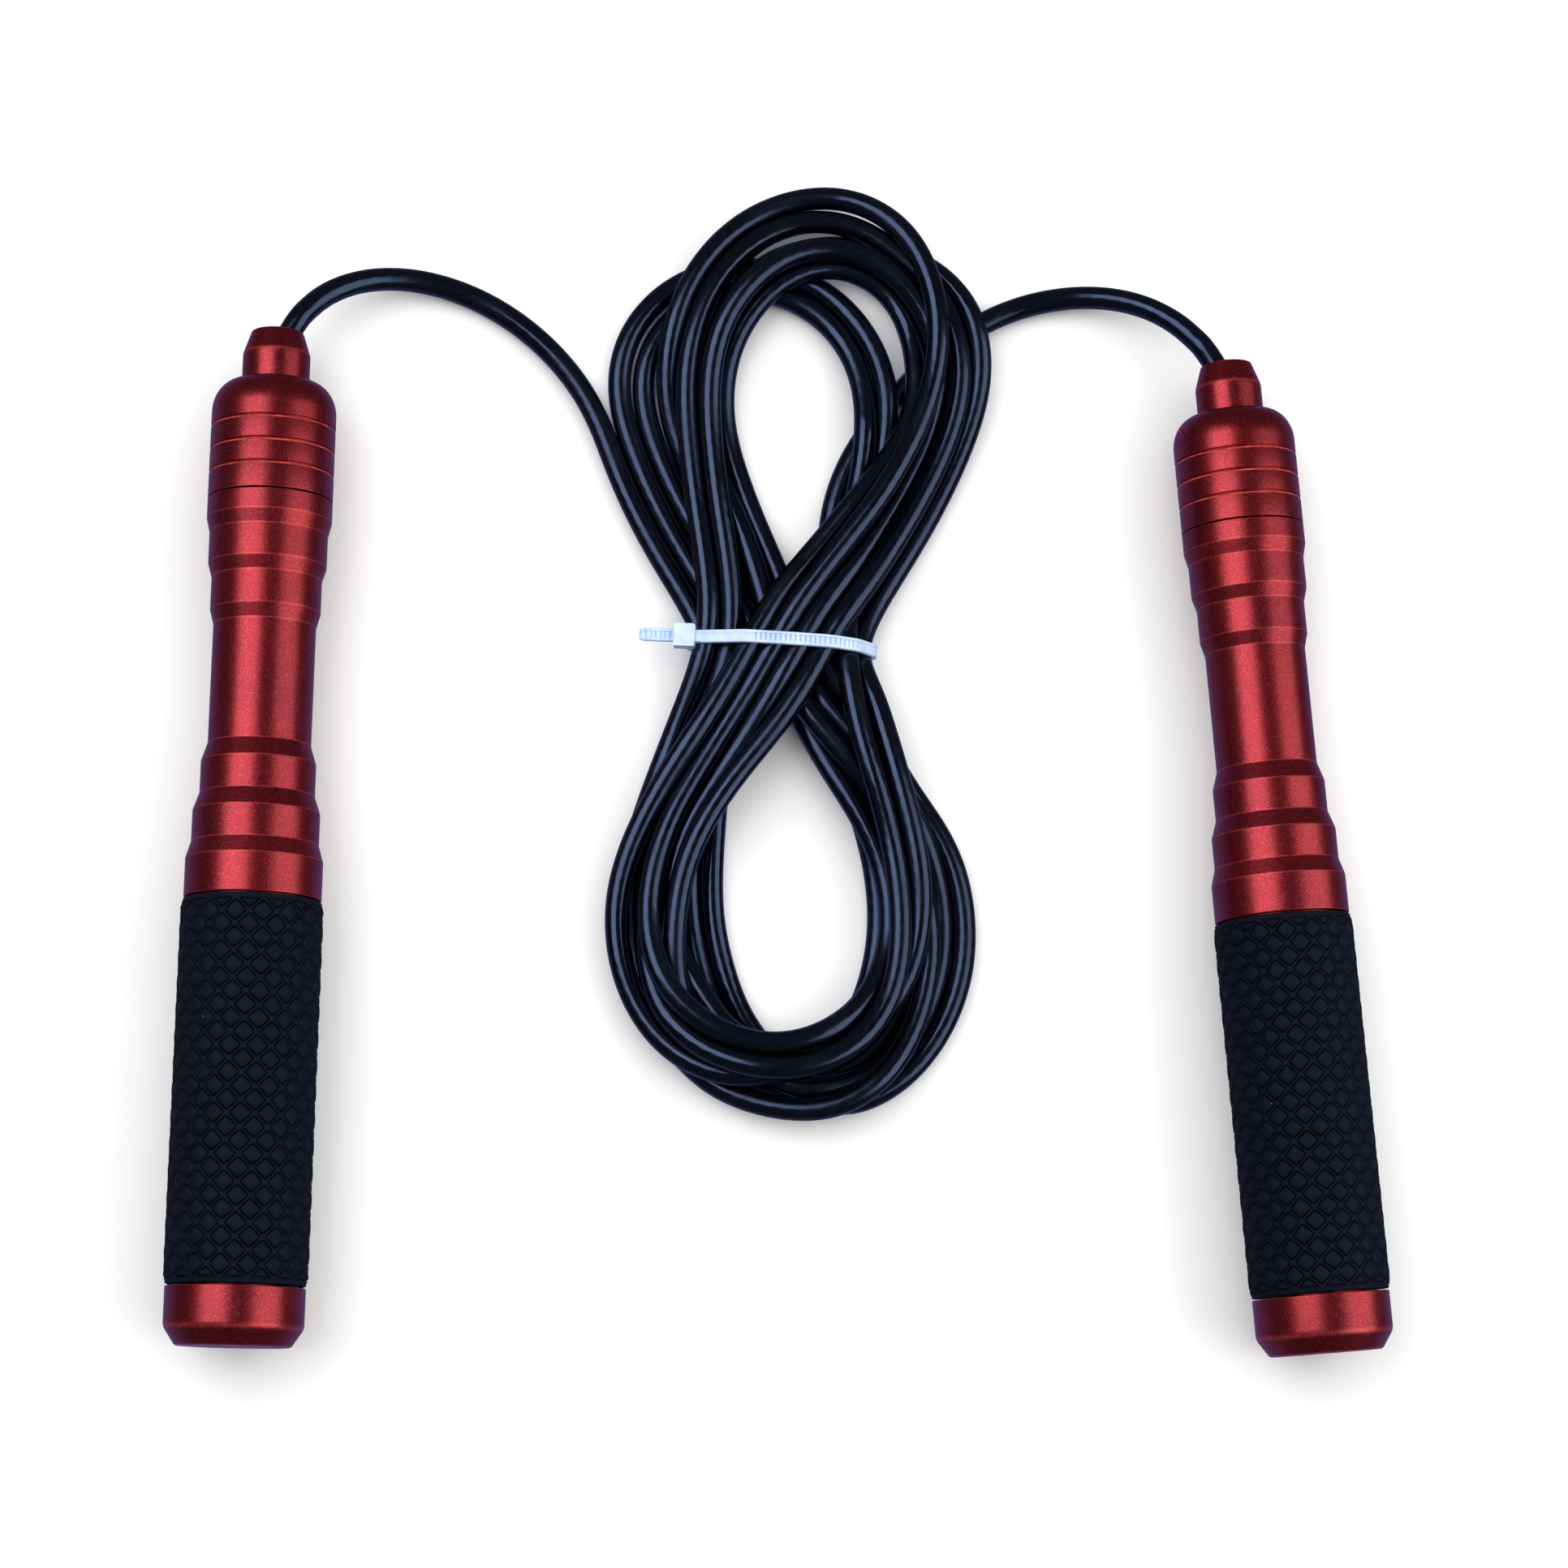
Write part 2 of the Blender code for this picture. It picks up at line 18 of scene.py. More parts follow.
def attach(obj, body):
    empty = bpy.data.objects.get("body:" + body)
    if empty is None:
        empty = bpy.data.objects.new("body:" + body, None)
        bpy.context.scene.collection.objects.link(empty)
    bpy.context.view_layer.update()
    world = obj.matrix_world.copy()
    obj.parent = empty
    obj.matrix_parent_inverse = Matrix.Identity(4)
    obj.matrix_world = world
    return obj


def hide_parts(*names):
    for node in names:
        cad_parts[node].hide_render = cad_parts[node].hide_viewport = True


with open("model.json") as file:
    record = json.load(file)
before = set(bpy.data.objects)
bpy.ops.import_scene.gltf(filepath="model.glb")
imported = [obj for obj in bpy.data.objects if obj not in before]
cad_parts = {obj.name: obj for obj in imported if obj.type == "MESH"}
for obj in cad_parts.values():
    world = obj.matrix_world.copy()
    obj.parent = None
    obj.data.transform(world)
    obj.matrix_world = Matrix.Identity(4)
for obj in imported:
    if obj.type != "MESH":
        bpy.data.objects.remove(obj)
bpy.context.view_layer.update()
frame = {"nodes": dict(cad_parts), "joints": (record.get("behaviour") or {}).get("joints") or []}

MM = 0.001

# ---------------------------------------------------------------- camera


def make_camera():
    """The photograph's view: nearly overhead, leaning a little to the front and the left."""
    data = bpy.data.cameras.new("camera")
    data.sensor_width = 36
    data.lens = 89.61
    data.clip_start = 0.02
    data.clip_end = 30
    camera = bpy.data.objects.new("camera", data)
    bpy.context.scene.collection.objects.link(camera)
    right = Vector((0.995007, -0.000063, 0.099809))
    up = Vector((-0.015351, 0.988004, 0.153661))
    back = Vector((-0.098621, -0.154426, 0.983070))
    matrix = Matrix((right, up, back)).transposed().to_4x4()
    matrix.translation = Vector((-73.87, -104.90, 747.43)) * MM
    camera.matrix_world = matrix
    bpy.context.scene.camera = camera


make_camera()

# ---------------------------------------------------------------- the rope's path

ROPE = 4.5
STEP = 2.5  # between the points of the rope's path
TIE_X, TIE_Y, TIE_TILT = 0.1, 38.6, 0.049  # the middle of the tied waist, and the strap's slope across it
TIE_HALF, TIE_TOP = 17.1, 13.8  # half the width of the tied strands, and their height
STRAP_ROOM = 1.2  # under the tied strands, for the strap
RISE = 3.0  # from one place in the pile to the next
# Each turn of the hank: left side (x, y, squareness), crest (x, y), right side (x, y, squareness), and
# how high in the pile its left side, crest and right side lie. The T turns are the lower loop's.
TURNS = {
    "A": ((-22.3, 90, 1.75), (9.0, 129.5), (30.3, 99, 2.05), (4, 7, 7)),
    "B": ((-18.8, 92, 2.2), (8.0, 124.7), (34.9, 94, 1.8), (7, 6, 6)),
    "D": ((-32.0, 92, 1.9), (-6.0, 115.7), (20.2, 88, 1.95), (1, 1, 1)),
    "E": ((-27.3, 92, 2.0), (-2.0, 110.8), (17.8, 84, 1.87), (2, 2, 2)),
    "F": ((-16.8, 92, 1.7), (14.0, 120.2), (38.7, 95, 2.4), (3, 3, 3)),
    "G": ((-14.2, 90, 2.0), (9.5, 118.0), (31.9, 94, 2.0), (5, 4, 4)),
    "H": ((-11.3, 88, 2.05), (9.0, 115.5), (28.3, 97, 2.0), (6, 5, 5)),
    "T1": ((-31.5, -14, 2.1), (-6.0, -45.7), (19.4, -14, 2.0), (5, 3, 2)),
    "T2": ((-25.9, -14, 2.0), (-2.0, -39.7), (21.1, -14, 2.1), (7, 7, 4)),
    "T3": ((-26.4, -14, 2.1), (-2.0, -44.2), (22.6, -14, 2.35), (3, 6, 8)),
    "T4": ((-28.9, -14, 2.0), (4.0, -50.7), (28.8, -14, 2.25), (2, 4, 5)),
    "T5": ((-22.0, -12, 2.0), (1.0, -41.6), (26.6, -14, 1.95), (4, 4, 6)),
    "T6": ((-16.1, -12, 1.95), (8.0, -47.5), (32.9, -14, 2.0), (1, 2, 3)),
    "T7": ((-15.0, -13, 1.8), (9.0, -49.5), (34.6, -18, 2.0), (0, 0, 1)),
    "T8": ((-20.2, -12, 2.1), (3.0, -47.0), (25.3, -14, 2.4), (5, 2, 0)),
}
# Where the two ends of each upper turn pass under the tie: x, place in the pile, and whether the strand
# slants above the tie and below it
ENDS = {
    "A0": (2.0, 2, True, True),
    "A1": (-1.1, 11, True, True),
    "B0": (-14.2, 8, False, True),
    "B1": (9.5, 9, True, True),
    "D0": (-10.8, 1, True, False),
    "D1": (12.0, 2, False, False),
    "E0": (-3.5, 2, True, True),
    "E1": (9.0, 3, False, False),
    "F0": (0.5, 3, True, True),
    "F1": (15.0, 8, True, True),
    "G0": (-9.8, 9, False, True),
    "G1": (4.0, 10, True, True),
    "H0": (6.3, 4, True, True),
    "H1": (-6.3, 12, True, True),
}
LEFT_END = (-15.2, 0, True, False)
RIGHT_END = (10.8, 0, False, False)
# The order in which the rope runs through the turns. A minus sign means from right to left.
ROUTE = "T6+ A+ T2+ E+ T1- H- T7- D+ T3- G+ T5+ F- T4- B+ T8+".split()
# The leads, from the noses to where they go under the hank
LEFT_LEAD = [
    (-98.18, 92.0, 11.68),
    (-97.75, 95.6, 11.65),
    (-95.9, 99.2, 11.6),
    (-90.7, 105.0, 11.2),
    (-85.0, 108.3, 10.4),
    (-79.8, 109.8, 9.3),
    (-75.4, 110.4, 8.5),
    (-70.2, 110.3, 7.3),
    (-64.3, 109.1, 6.0),
    (-58.5, 106.9, 4.8),
    (-53.5, 104.0, 3.9),
    (-48.6, 100.3, 3.1),
    (-43.7, 95.6, 2.6),
    (-39.0, 90.2, 2.4),
    (-35.4, 84.0, 2.4),
    (-31.4, 76.3, 2.3),
    (-26.6, 67.0, 2.3),
    (-20.6, 54.5, 2.3),
]
RIGHT_LEAD = [
    (87.92, 91.0, 11.69),
    (86.95, 94.8, 11.66),
    (84.2, 98.3, 11.6),
    (81.8, 101.4, 11.4),
    (78.2, 105.0, 10.8),
    (71.8, 108.9, 9.6),
    (66.2, 110.4, 8.3),
    (60.7, 110.8, 6.8),
    (55.1, 110.4, 5.2),
    (49.9, 109.3, 3.8),
    (44.8, 107.5, 2.8),
    (39.4, 105.0, 2.4),
    (32.5, 99.8, 2.3),
    (25.4, 91.8, 2.3),
    (17.6, 82.6, 2.3),
    (12.0, 72.4, 2.3),
    (9.7, 62.0, 2.3),
    (9.8, 50.0, 2.3),
]


def level(rank):
    """Height of a strand's middle, from its place in the pile."""
    return ROPE / 2 + RISE * rank


def side_path(tie, side, slant, count=10):
    """From a crossing at the tie to the widest point of a turn's side."""
    out = []
    for i in range(count):
        u = i / count
        ease = u * u * (3 - 2 * u)
        across = u + u * u - u**3 if slant else ease
        out.append(
            (
                tie[0] + (side[0] - tie[0]) * across,
                tie[1] + (side[1] - tie[1]) * u,
                tie[2] + (side[2] - tie[2]) * ease,
            )
        )
    return out


def quarter(side, crest, low, high, count=9):
    """A quarter of a superellipse from a turn's side to its crest."""
    out = []
    x, y, power = side
    for i in range(count + 1):
        w = i / count
        angle = math.pi / 2 * w
        c, s = max(math.cos(angle), 0) ** (2 / power), math.sin(angle) ** (2 / power)
        height = low + (high - low) * w * w * (3 - 2 * w)
        out.append((crest[0] + (x - crest[0]) * c, y + (crest[1] - y) * s, height))
    return out


def turn(name, tie_left, tie_right, upper):
    """A whole turn from left to right, from one crossing at the tie to the other."""
    left, crest, right, ranks = TURNS[name]
    low_left, top, low_right = (level(rank) for rank in ranks)
    k = 3 if upper else 4
    points = side_path(tie_left, (left[0], left[1], low_left), tie_left[k])
    points += quarter(left, crest, low_left, top)
    points += quarter(right, crest, low_right, top)[-2::-1]
    return points + side_path(tie_right, (right[0], right[1], low_right), tie_right[k])[::-1]


def tie_point(end):
    x, rank, above, below = end
    return (x, TIE_Y - TIE_TILT * (x - TIE_X), level(rank) + STRAP_ROOM, above, below)


def rough_path():
    """The rope from the left nose to the right one, before it settles."""
    path = list(LEFT_LEAD)
    here = tie_point(LEFT_END)
    for n, item in enumerate(ROUTE):
        name, forward = item[:-1], item[-1] == "+"
        upper = name[0] != "T"
        if upper:
            there = tie_point(ENDS[name + ("1" if forward else "0")])
        elif n + 1 < len(ROUTE):
            after, after_forward = ROUTE[n + 1][:-1], ROUTE[n + 1][-1] == "+"
            there = tie_point(ENDS[after + ("0" if after_forward else "1")])
        else:
            there = tie_point(RIGHT_END)
        first, last = (here, there) if forward else (there, here)
        points = turn(name, first, last, upper)
        points = points if forward else points[::-1]
        path += points[(1 if n else 0) :]
        here = there
    path += RIGHT_LEAD[::-1]
    return np.array(path)


def spline(points, fine=8):
    """A smooth curve through the points."""
    p = np.vstack([2 * points[0] - points[1], points, 2 * points[-1] - points[-2]])
    t = (np.arange(fine) / fine)[:, None]
    out = []
    for i in range(1, len(p) - 2):
        a, b, c, d = p[i - 1], p[i], p[i + 1], p[i + 2]
        bend = (2 * a - 5 * b + 4 * c - d) * t**2
        out.append(b + 0.5 * ((c - a) * t + bend + (3 * b - a - 3 * c + d) * t**3))
    out.append(points[-1:])
    return np.vstack(out)


def walked(points):
    """How far along the line each point is."""
    return np.concatenate([[0], np.cumsum(np.linalg.norm(np.diff(points, axis=0), axis=1))])


def resample(points, step):
    s = walked(points)
    u = np.linspace(0, s[-1], int(round(s[-1] / step)) + 1)
    return np.column_stack([np.interp(u, s, points[:, k]) for k in range(3)])


def pairs_of(points, reach, skip):
    """Pairs of points nearer than reach that aren't neighbours along the rope."""
    cell = np.floor(points / reach).astype(int)
    cell -= cell.min(0)
    dims = cell.max(0) + 3
    key = ((cell[:, 0] + 1) * dims[1] + cell[:, 1] + 1) * dims[2] + cell[:, 2] + 1
    order = np.argsort(key, kind="stable")
    ranked = key[order]
    out_i, out_j = [], []
    for dx in (-1, 0, 1):
        for dy in (-1, 0, 1):
            for dz in (-1, 0, 1):
                off = (dx * dims[1] + dy) * dims[2] + dz
                low = np.searchsorted(ranked, key + off, "left")
                count = np.searchsorted(ranked, key + off, "right") - low
                some = count > 0
                i = np.repeat(np.nonzero(some)[0], count[some])
                start = np.repeat(low[some], count[some])
                within = np.arange(len(i)) - np.repeat(np.cumsum(count[some]) - count[some], count[some])
                j = order[start + within]
                keep = j > i + skip
                out_i.append(i[keep])
                out_j.append(j[keep])
    i, j = np.concatenate(out_i), np.concatenate(out_j)
    near = np.linalg.norm(points[i] - points[j], axis=1) < reach
    return i[near], j[near]


def smoother(stiffness):
    """How a stiff rope spreads a bend along itself: the weights of a point's neighbours."""
    reach = 36
    count = 2 * reach + 1
    d = np.zeros((count - 2, count))
    i = np.arange(count - 2)
    d[i, i], d[i, i + 1], d[i, i + 2] = 1, -2, 1
    weights = np.linalg.inv(np.eye(count) + stiffness * (d.T @ d))[reach]
    return weights / weights.sum()


def smoothed(values, weights):
    """Columns of numbers along the rope, smoothed. Past its ends the rope is taken to go straight on."""
    reach = len(weights) // 2
    before = 2 * values[0] - values[reach:0:-1]
    after = 2 * values[-1] - values[-2 : -reach - 2 : -1]
    padded = np.concatenate([before, values, after])
    if values.ndim == 1:
        return np.convolve(padded, weights, "valid")
    return np.column_stack([np.convolve(column, weights, "valid") for column in padded.T])


def sink(share):
    """How far the rope drops in one round, at this share of the whole settling."""
    if share < 0.5:
        return 0.15
    return 0.06 if share < FIRM_FROM else 0.02


def keep_in_tie(p, share):
    """Holds the strands inside the strap, which closes on them from above as the rope settles."""
    r = ROPE / 2
    off = p[:, 1] - (TIE_Y - TIE_TILT * (p[:, 0] - TIE_X))
    under = np.abs(off) < 2.2
    top = max(TIE_TOP, 40 - 60 * share)
    p[under, 0] = np.clip(p[under, 0], TIE_X - TIE_HALF + r, TIE_X + TIE_HALF - r)
    side = np.clip(np.abs(p[under, 0] - TIE_X) / (TIE_HALF - r), 0, 1)
    roof = r + STRAP_ROOM + (top - 2 * r - STRAP_ROOM) * np.sqrt(1 - 0.62 * side**2.5)
    p[under, 2] = np.minimum(p[under, 2], roof)
    ramp = np.clip(1 - (np.abs(off) - 1.5) / 8, 0, 1) * (np.abs(p[:, 0] - TIE_X) < 20)
    p[:, 2] = np.maximum(p[:, 2], r + STRAP_ROOM * ramp * ramp * (3 - 2 * ramp))


SETTLE_ROUNDS = 600
FIRM_FROM = 0.8  # the share of the rounds after which the strands only find their last places


def settle(path):
    """Lets the rope sink onto the table and onto itself, and pulls the tie tight.

    Strands that touch push each other apart. At one crossing, low in the lower loop's crest, that isn't
    enough, and two strands still pass through each other.
    """
    count = len(path)
    stiff = smoother(60.0)
    target = smoothed(path, stiff)
    p = target.copy()
    final_level, final_height = smoother(3.0), smoother(6.0)
    pin = np.zeros(count, bool)
    pin[:5] = pin[-5:] = True
    skip = int(2.0 * ROPE / STEP)
    for n in range(SETTLE_ROUNDS):
        if n % 8 == 0:
            near_i, near_j = pairs_of(p, ROPE * 1.5, skip)
        share = n / SETTLE_ROUNDS
        p[:, 2] -= sink(share)
        p[:, :2] += 0.06 * (target[:, :2] - p[:, :2])
        last = n > SETTLE_ROUNDS * FIRM_FROM
        flat, high = (final_level, final_height) if last else (stiff, stiff)
        p[:, :2] = target[:, :2] + smoothed(p[:, :2] - target[:, :2], flat)
        p[:, 2] = smoothed(p[:, 2], high)
        for _ in range(8 if last else 4):
            apart = p[near_j] - p[near_i]
            length = np.linalg.norm(apart, axis=1)
            touch = length < ROPE
            i, j, apart, length = near_i[touch], near_j[touch], apart[touch], length[touch]
            push = (0.5 * (ROPE - length) / length)[:, None] * apart
            contacts = np.bincount(i, minlength=count) + np.bincount(j, minlength=count)
            weight = 1 / np.maximum(1, contacts * 0.4)
            for k in range(3):
                p[:, k] += (np.bincount(j, push[:, k], count) - np.bincount(i, push[:, k], count)) * weight
            keep_in_tie(p, share)
            p[pin] = target[pin]
    final = smoothed(p, smoother(2.0))
    final[pin] = p[pin]
    return final


ROPE_PATH = settle(resample(spline(rough_path()), STEP))

# ---------------------------------------------------------------- mesh helpers


def new_object(name, mesh):
    item = bpy.data.objects.new(name, mesh)
    bpy.context.scene.collection.objects.link(item)
    return item


def frames_along(path):
    """Tangents and two side directions that don't twist along the path."""
    tangent = np.gradient(path, axis=0)
    tangent /= np.linalg.norm(tangent, axis=1)[:, None]
    side = np.zeros_like(path)
    here = np.cross(tangent[0], (0, 0, 1.0))
    for n, t in enumerate(tangent):
        here = here - t * here.dot(t)
        here /= np.linalg.norm(here)
        side[n] = here
    return tangent, side, np.cross(tangent, side)


TUBE_SIDES = 20


def tube_mesh(name, path, radius):
    """A round tube with closed ends. Its UV map holds the share round the tube and the metres along it."""
    sides = TUBE_SIDES
    tangent, side, other = frames_along(path)
    angle = 2 * math.pi * np.arange(sides) / sides
    c, s = np.cos(angle), np.sin(angle)
    round_it = side[:, None, :] * c[None, :, None] + other[:, None, :] * s[None, :, None]
    rings = path[:, None, :] + radius * round_it
    count = len(path)
    along = walked(path) * MM
    first = rings[0] * 0.7 + path[0] * 0.3 - tangent[0] * 0.35
    last = rings[-1] * 0.7 + path[-1] * 0.3 + tangent[-1] * 0.35
    rings = np.concatenate([first[None], rings, last[None]])
    along = np.concatenate([along[:1], along, along[-1:]])
    count += 2
    verts = rings.reshape(-1, 3) * MM
    faces, uv = [], []
    for i in range(count - 1):
        for k in range(sides):
            b = (k + 1) % sides
            faces.append((i * sides + k, i * sides + b, (i + 1) * sides + b, (i + 1) * sides + k))
            uv += [(k / sides, along[i]), ((k + 1) / sides, along[i])]
            uv += [((k + 1) / sides, along[i + 1]), (k / sides, along[i + 1])]
    faces.append(tuple(range(sides))[::-1])
    uv += [(0.5, along[0])] * sides
    faces.append(tuple((count - 1) * sides + k for k in range(sides)))
    uv += [(0.5, along[-1])] * sides
    mesh = bpy.data.meshes.new(name)
    mesh.from_pydata(verts.tolist(), [], faces)
    layer = mesh.uv_layers.new(name="lay")
    layer.data.foreach_set("uv", np.array(uv, np.float32).ravel())
    mesh.shade_smooth()
    return new_object(name, mesh)


EDGE_WEAR = 0.45  # how worn a rounded edge looks, on the scale where 1 is the full painted highlight along a head groove's flank


def softened(outline):
    """Rounds the corners of a closed outline of (station, radius, rounding, painted highlight). The painted
    highlight may be left out.

    Gives (station, radius, edge), where edge says how much of an edge the point is, which reads as wear, or
    how strong a painted highlight it carries.
    """
    out = []
    count = len(outline)
    for n in range(count):
        here = np.array(outline[n][:2], float)
        before = np.array(outline[n - 1][:2], float) - here
        after = np.array(outline[(n + 1) % count][:2], float) - here
        size = outline[n][2]
        # The fourth value paints a highlight along a head groove's flank.
        painted_highlight = outline[n][3] if len(outline[n]) > 3 else 0.0
        room_before, room_after = np.linalg.norm(before), np.linalg.norm(after)
        reach = min(size, 0.42 * room_before, 0.42 * room_after)
        if reach < 0.01:
            out.append((*here, painted_highlight))
            continue
        before /= room_before
        after /= room_after
        guard = min(2.0 * reach, reach + 0.3)
        if guard < 0.48 * room_before:
            out.append((*(here + before * guard), painted_highlight))
        for t in (0, 0.2, 0.4, 0.6, 0.8, 1.0):
            point = here + before * reach * (1 - t) ** 2 + after * reach * t**2
            out.append((*point, max(painted_highlight, EDGE_WEAR * (1.0 - abs(2 * t - 1)))))
        if guard < 0.48 * room_after:
            out.append((*(here + after * guard), painted_highlight))
    return out


def turned(name, outline, matrix, segments):
    """Turns a softened closed outline about a handle's axis."""
    points = softened(outline)
    shape = bmesh.new()
    edge = shape.verts.layers.float.new("edge")
    rings = []
    for station, radius, sharp in points:
        ring = []
        if radius < 1e-6:
            ring = [shape.verts.new((0, 0, -station * MM))]
        else:
            for k in range(segments):
                angle = 2 * math.pi * k / segments
                x, y = radius * math.cos(angle), radius * math.sin(angle)
                ring.append(shape.verts.new((x * MM, y * MM, -station * MM)))
        for vert in ring:
            vert[edge] = sharp
        rings.append(ring)
    for n, ring in enumerate(rings):
        after = rings[(n + 1) % len(rings)]
        for k in range(segments):
            corners = (
                ring[k % len(ring)],
                ring[(k + 1) % len(ring)],
                after[(k + 1) % len(after)],
                after[k % len(after)],
            )
            corners = tuple(dict.fromkeys(corners))
            if len(corners) > 2:
                shape.faces.new(corners)
    return finished(name, shape, matrix)


def finished(name, shape, matrix=None):
    """Turns a finished bmesh into a smooth-shaded object."""
    bmesh.ops.recalc_face_normals(shape, faces=shape.faces)
    mesh = bpy.data.meshes.new(name)
    shape.to_mesh(mesh)
    shape.free()
    if matrix is not None:
        mesh.transform(matrix)
    mesh.shade_smooth()
    return new_object(name, mesh)


# ---------------------------------------------------------------- materials


def new_material(name, **values):
    """A material whose constant values sit on the shader's own sockets."""
    material = bpy.data.materials.new(name)
    material.use_nodes = True
    shader = material.node_tree.nodes["Principled BSDF"]
    for socket, value in values.items():
        shader.inputs[socket.replace("_", " ")].default_value = value
    return material, material.node_tree, shader


def add(tree, kind, inputs=(), **settings):
    item = tree.nodes.new(kind)
    for key, value in settings.items():
        setattr(item, key, value)
    for key, value in dict(inputs).items():
        if isinstance(value, bpy.types.NodeSocket):
            tree.links.new(value, item.inputs[key])
        else:
            item.inputs[key].default_value = value
    return item


def place(tree):
    """Where a surface point is on its own object, which every texture is laid out by."""
    return add(tree, "ShaderNodeTexCoord").outputs["Object"]


def noise(tree, where, size, detail=2.0, roughness=0.5):
    """Noise whose blobs are about this many millimetres across."""
    inputs = {"Vector": where, "Scale": 1 / (size * MM), "Detail": detail, "Roughness": roughness}
    return add(tree, "ShaderNodeTexNoise", inputs).outputs["Fac"]


def spread(tree, value, low, high, to_low, to_high):
    inputs = {"Value": value, "From Min": low, "From Max": high, "To Min": to_low, "To Max": to_high}
    return add(tree, "ShaderNodeMapRange", inputs).outputs["Result"]


def mixed(tree, share, a, b):
    item = add(tree, "ShaderNodeMix", data_type="RGBA")
    for socket, value in ((item.inputs[0], share), (item.inputs[6], a), (item.inputs[7], b)):
        if isinstance(value, bpy.types.NodeSocket):
            tree.links.new(value, socket)
        else:
            socket.default_value = value if isinstance(value, float) else (*value, 1.0)
    return item.outputs[2]


def math_node(tree, operation, a, b=None, c=None):
    item = add(tree, "ShaderNodeMath", operation=operation)
    for socket, value in zip(item.inputs, (a, b, c)):
        if isinstance(value, bpy.types.NodeSocket):
            tree.links.new(value, socket)
        elif value is not None:
            socket.default_value = value
    return item.outputs[0]


def bump(tree, shader, height, distance, strength=1.0, after=None):
    inputs = {"Height": height, "Distance": distance * MM, "Strength": strength}
    if after is not None:
        inputs["Normal"] = after
    normal = add(tree, "ShaderNodeBump", inputs).outputs["Normal"]
    tree.links.new(normal, shader.inputs["Normal"])
    return normal


def red_aluminium():
    """Bead-blasted and anodised: satin, with a fine sparkle, a little lighter where rounded edges have
    rubbed, and a painted highlight along one flank of each head groove.
    """
    material, tree, shader = new_material(
        "red_anodised_aluminium", Specular_Tint=(0.85, 0.45, 0.75, 1.0), Coat_Weight=0.7, Coat_IOR=1.5
    )
    shader.inputs["Coat Roughness"].default_value = 0.3
    where = place(tree)
    grain = noise(tree, where, 0.30, 3.0, 0.7)
    cloud = noise(tree, where, 9.0, 2.0)
    base = mixed(tree, spread(tree, cloud, 0.35, 0.65, 0.0, 1.0), (0.27, 0.005, 0.018), (0.33, 0.008, 0.013))
    base = mixed(tree, spread(tree, grain, 0.5, 0.7, 0.0, 0.9), base, (0.78, 0.07, 0.085))
    # The edge attribute holds the worn rounded edges and the painted highlight in the head's grooves. Both
    # get a lighter, less metallic red.
    edge = add(tree, "ShaderNodeAttribute", attribute_name="edge").outputs["Fac"]
    patches = spread(tree, noise(tree, where, 1.3, 3.0), 0.4, 0.65, 0.6, 1.0)
    wear_and_painted_highlight = math_node(tree, "MULTIPLY", edge, patches)
    base = mixed(tree, wear_and_painted_highlight, base, (0.85, 0.12, 0.085))
    tree.links.new(base, shader.inputs["Base Color"])
    tree.links.new(spread(tree, wear_and_painted_highlight, 0.0, 1.0, 0.95, 0.4), shader.inputs["Metallic"])
    tree.links.new(spread(tree, grain, 0.3, 0.7, 0.26, 0.36), shader.inputs["Roughness"])
    bump(tree, shader, grain, 0.03, 0.8)
    return material


def silicone():
    """Moulded silicone: slate blue-black, with painted light on the raised pads and painted shade in the
    grooves, a dull skin and a few specks of dust.
    """
    material, tree, shader = new_material(
        "slate_silicone", Specular_IOR_Level=0.12, Specular_Tint=(0.65, 0.80, 1.0, 1.0)
    )
    where = place(tree)
    groove = add(tree, "ShaderNodeAttribute", attribute_name="groove").outputs["Fac"]
    pad = add(tree, "ShaderNodeAttribute", attribute_name="pad").outputs["Fac"]
    cloud = noise(tree, where, 2.2, 3.0, 0.6)
    share = spread(tree, cloud, 0.35, 0.65, 0.0, 1.0)
    base = mixed(tree, share, (0.0027, 0.0037, 0.0080), (0.0038, 0.0052, 0.0110))
    # Painted light: the raised pads are lighter than the ridges.
    base = mixed(tree, math_node(tree, "MULTIPLY", pad, 0.6), base, (0.0036, 0.0055, 0.0130))
    # Painted shade: the grooves' recesses are nearly black.
    base = mixed(tree, groove, base, (0.0003, 0.0004, 0.0007))
    speck = add(tree, "ShaderNodeTexVoronoi", {"Vector": where, "Scale": 1 / (4.5 * MM), "Randomness": 1.0})
    near = spread(tree, speck.outputs["Distance"], 0.016, 0.026, 1.0, 0.0)
    some = math_node(tree, "GREATER_THAN", noise(tree, where, 7.0, 0.0), 0.56)
    base = mixed(tree, math_node(tree, "MULTIPLY", near, some), base, (0.34, 0.36, 0.38))
    tree.links.new(base, shader.inputs["Base Color"])
    skin = noise(tree, where, 0.22, 4.0, 0.6)
    tree.links.new(spread(tree, skin, 0.3, 0.7, 0.52, 0.66), shader.inputs["Roughness"])
    bump(tree, shader, skin, 0.02, 0.5)
    return material


WIRE_STRANDS = 7
WIRE_PITCH = 3.1  # from one strand of the wire to the next, along the rope


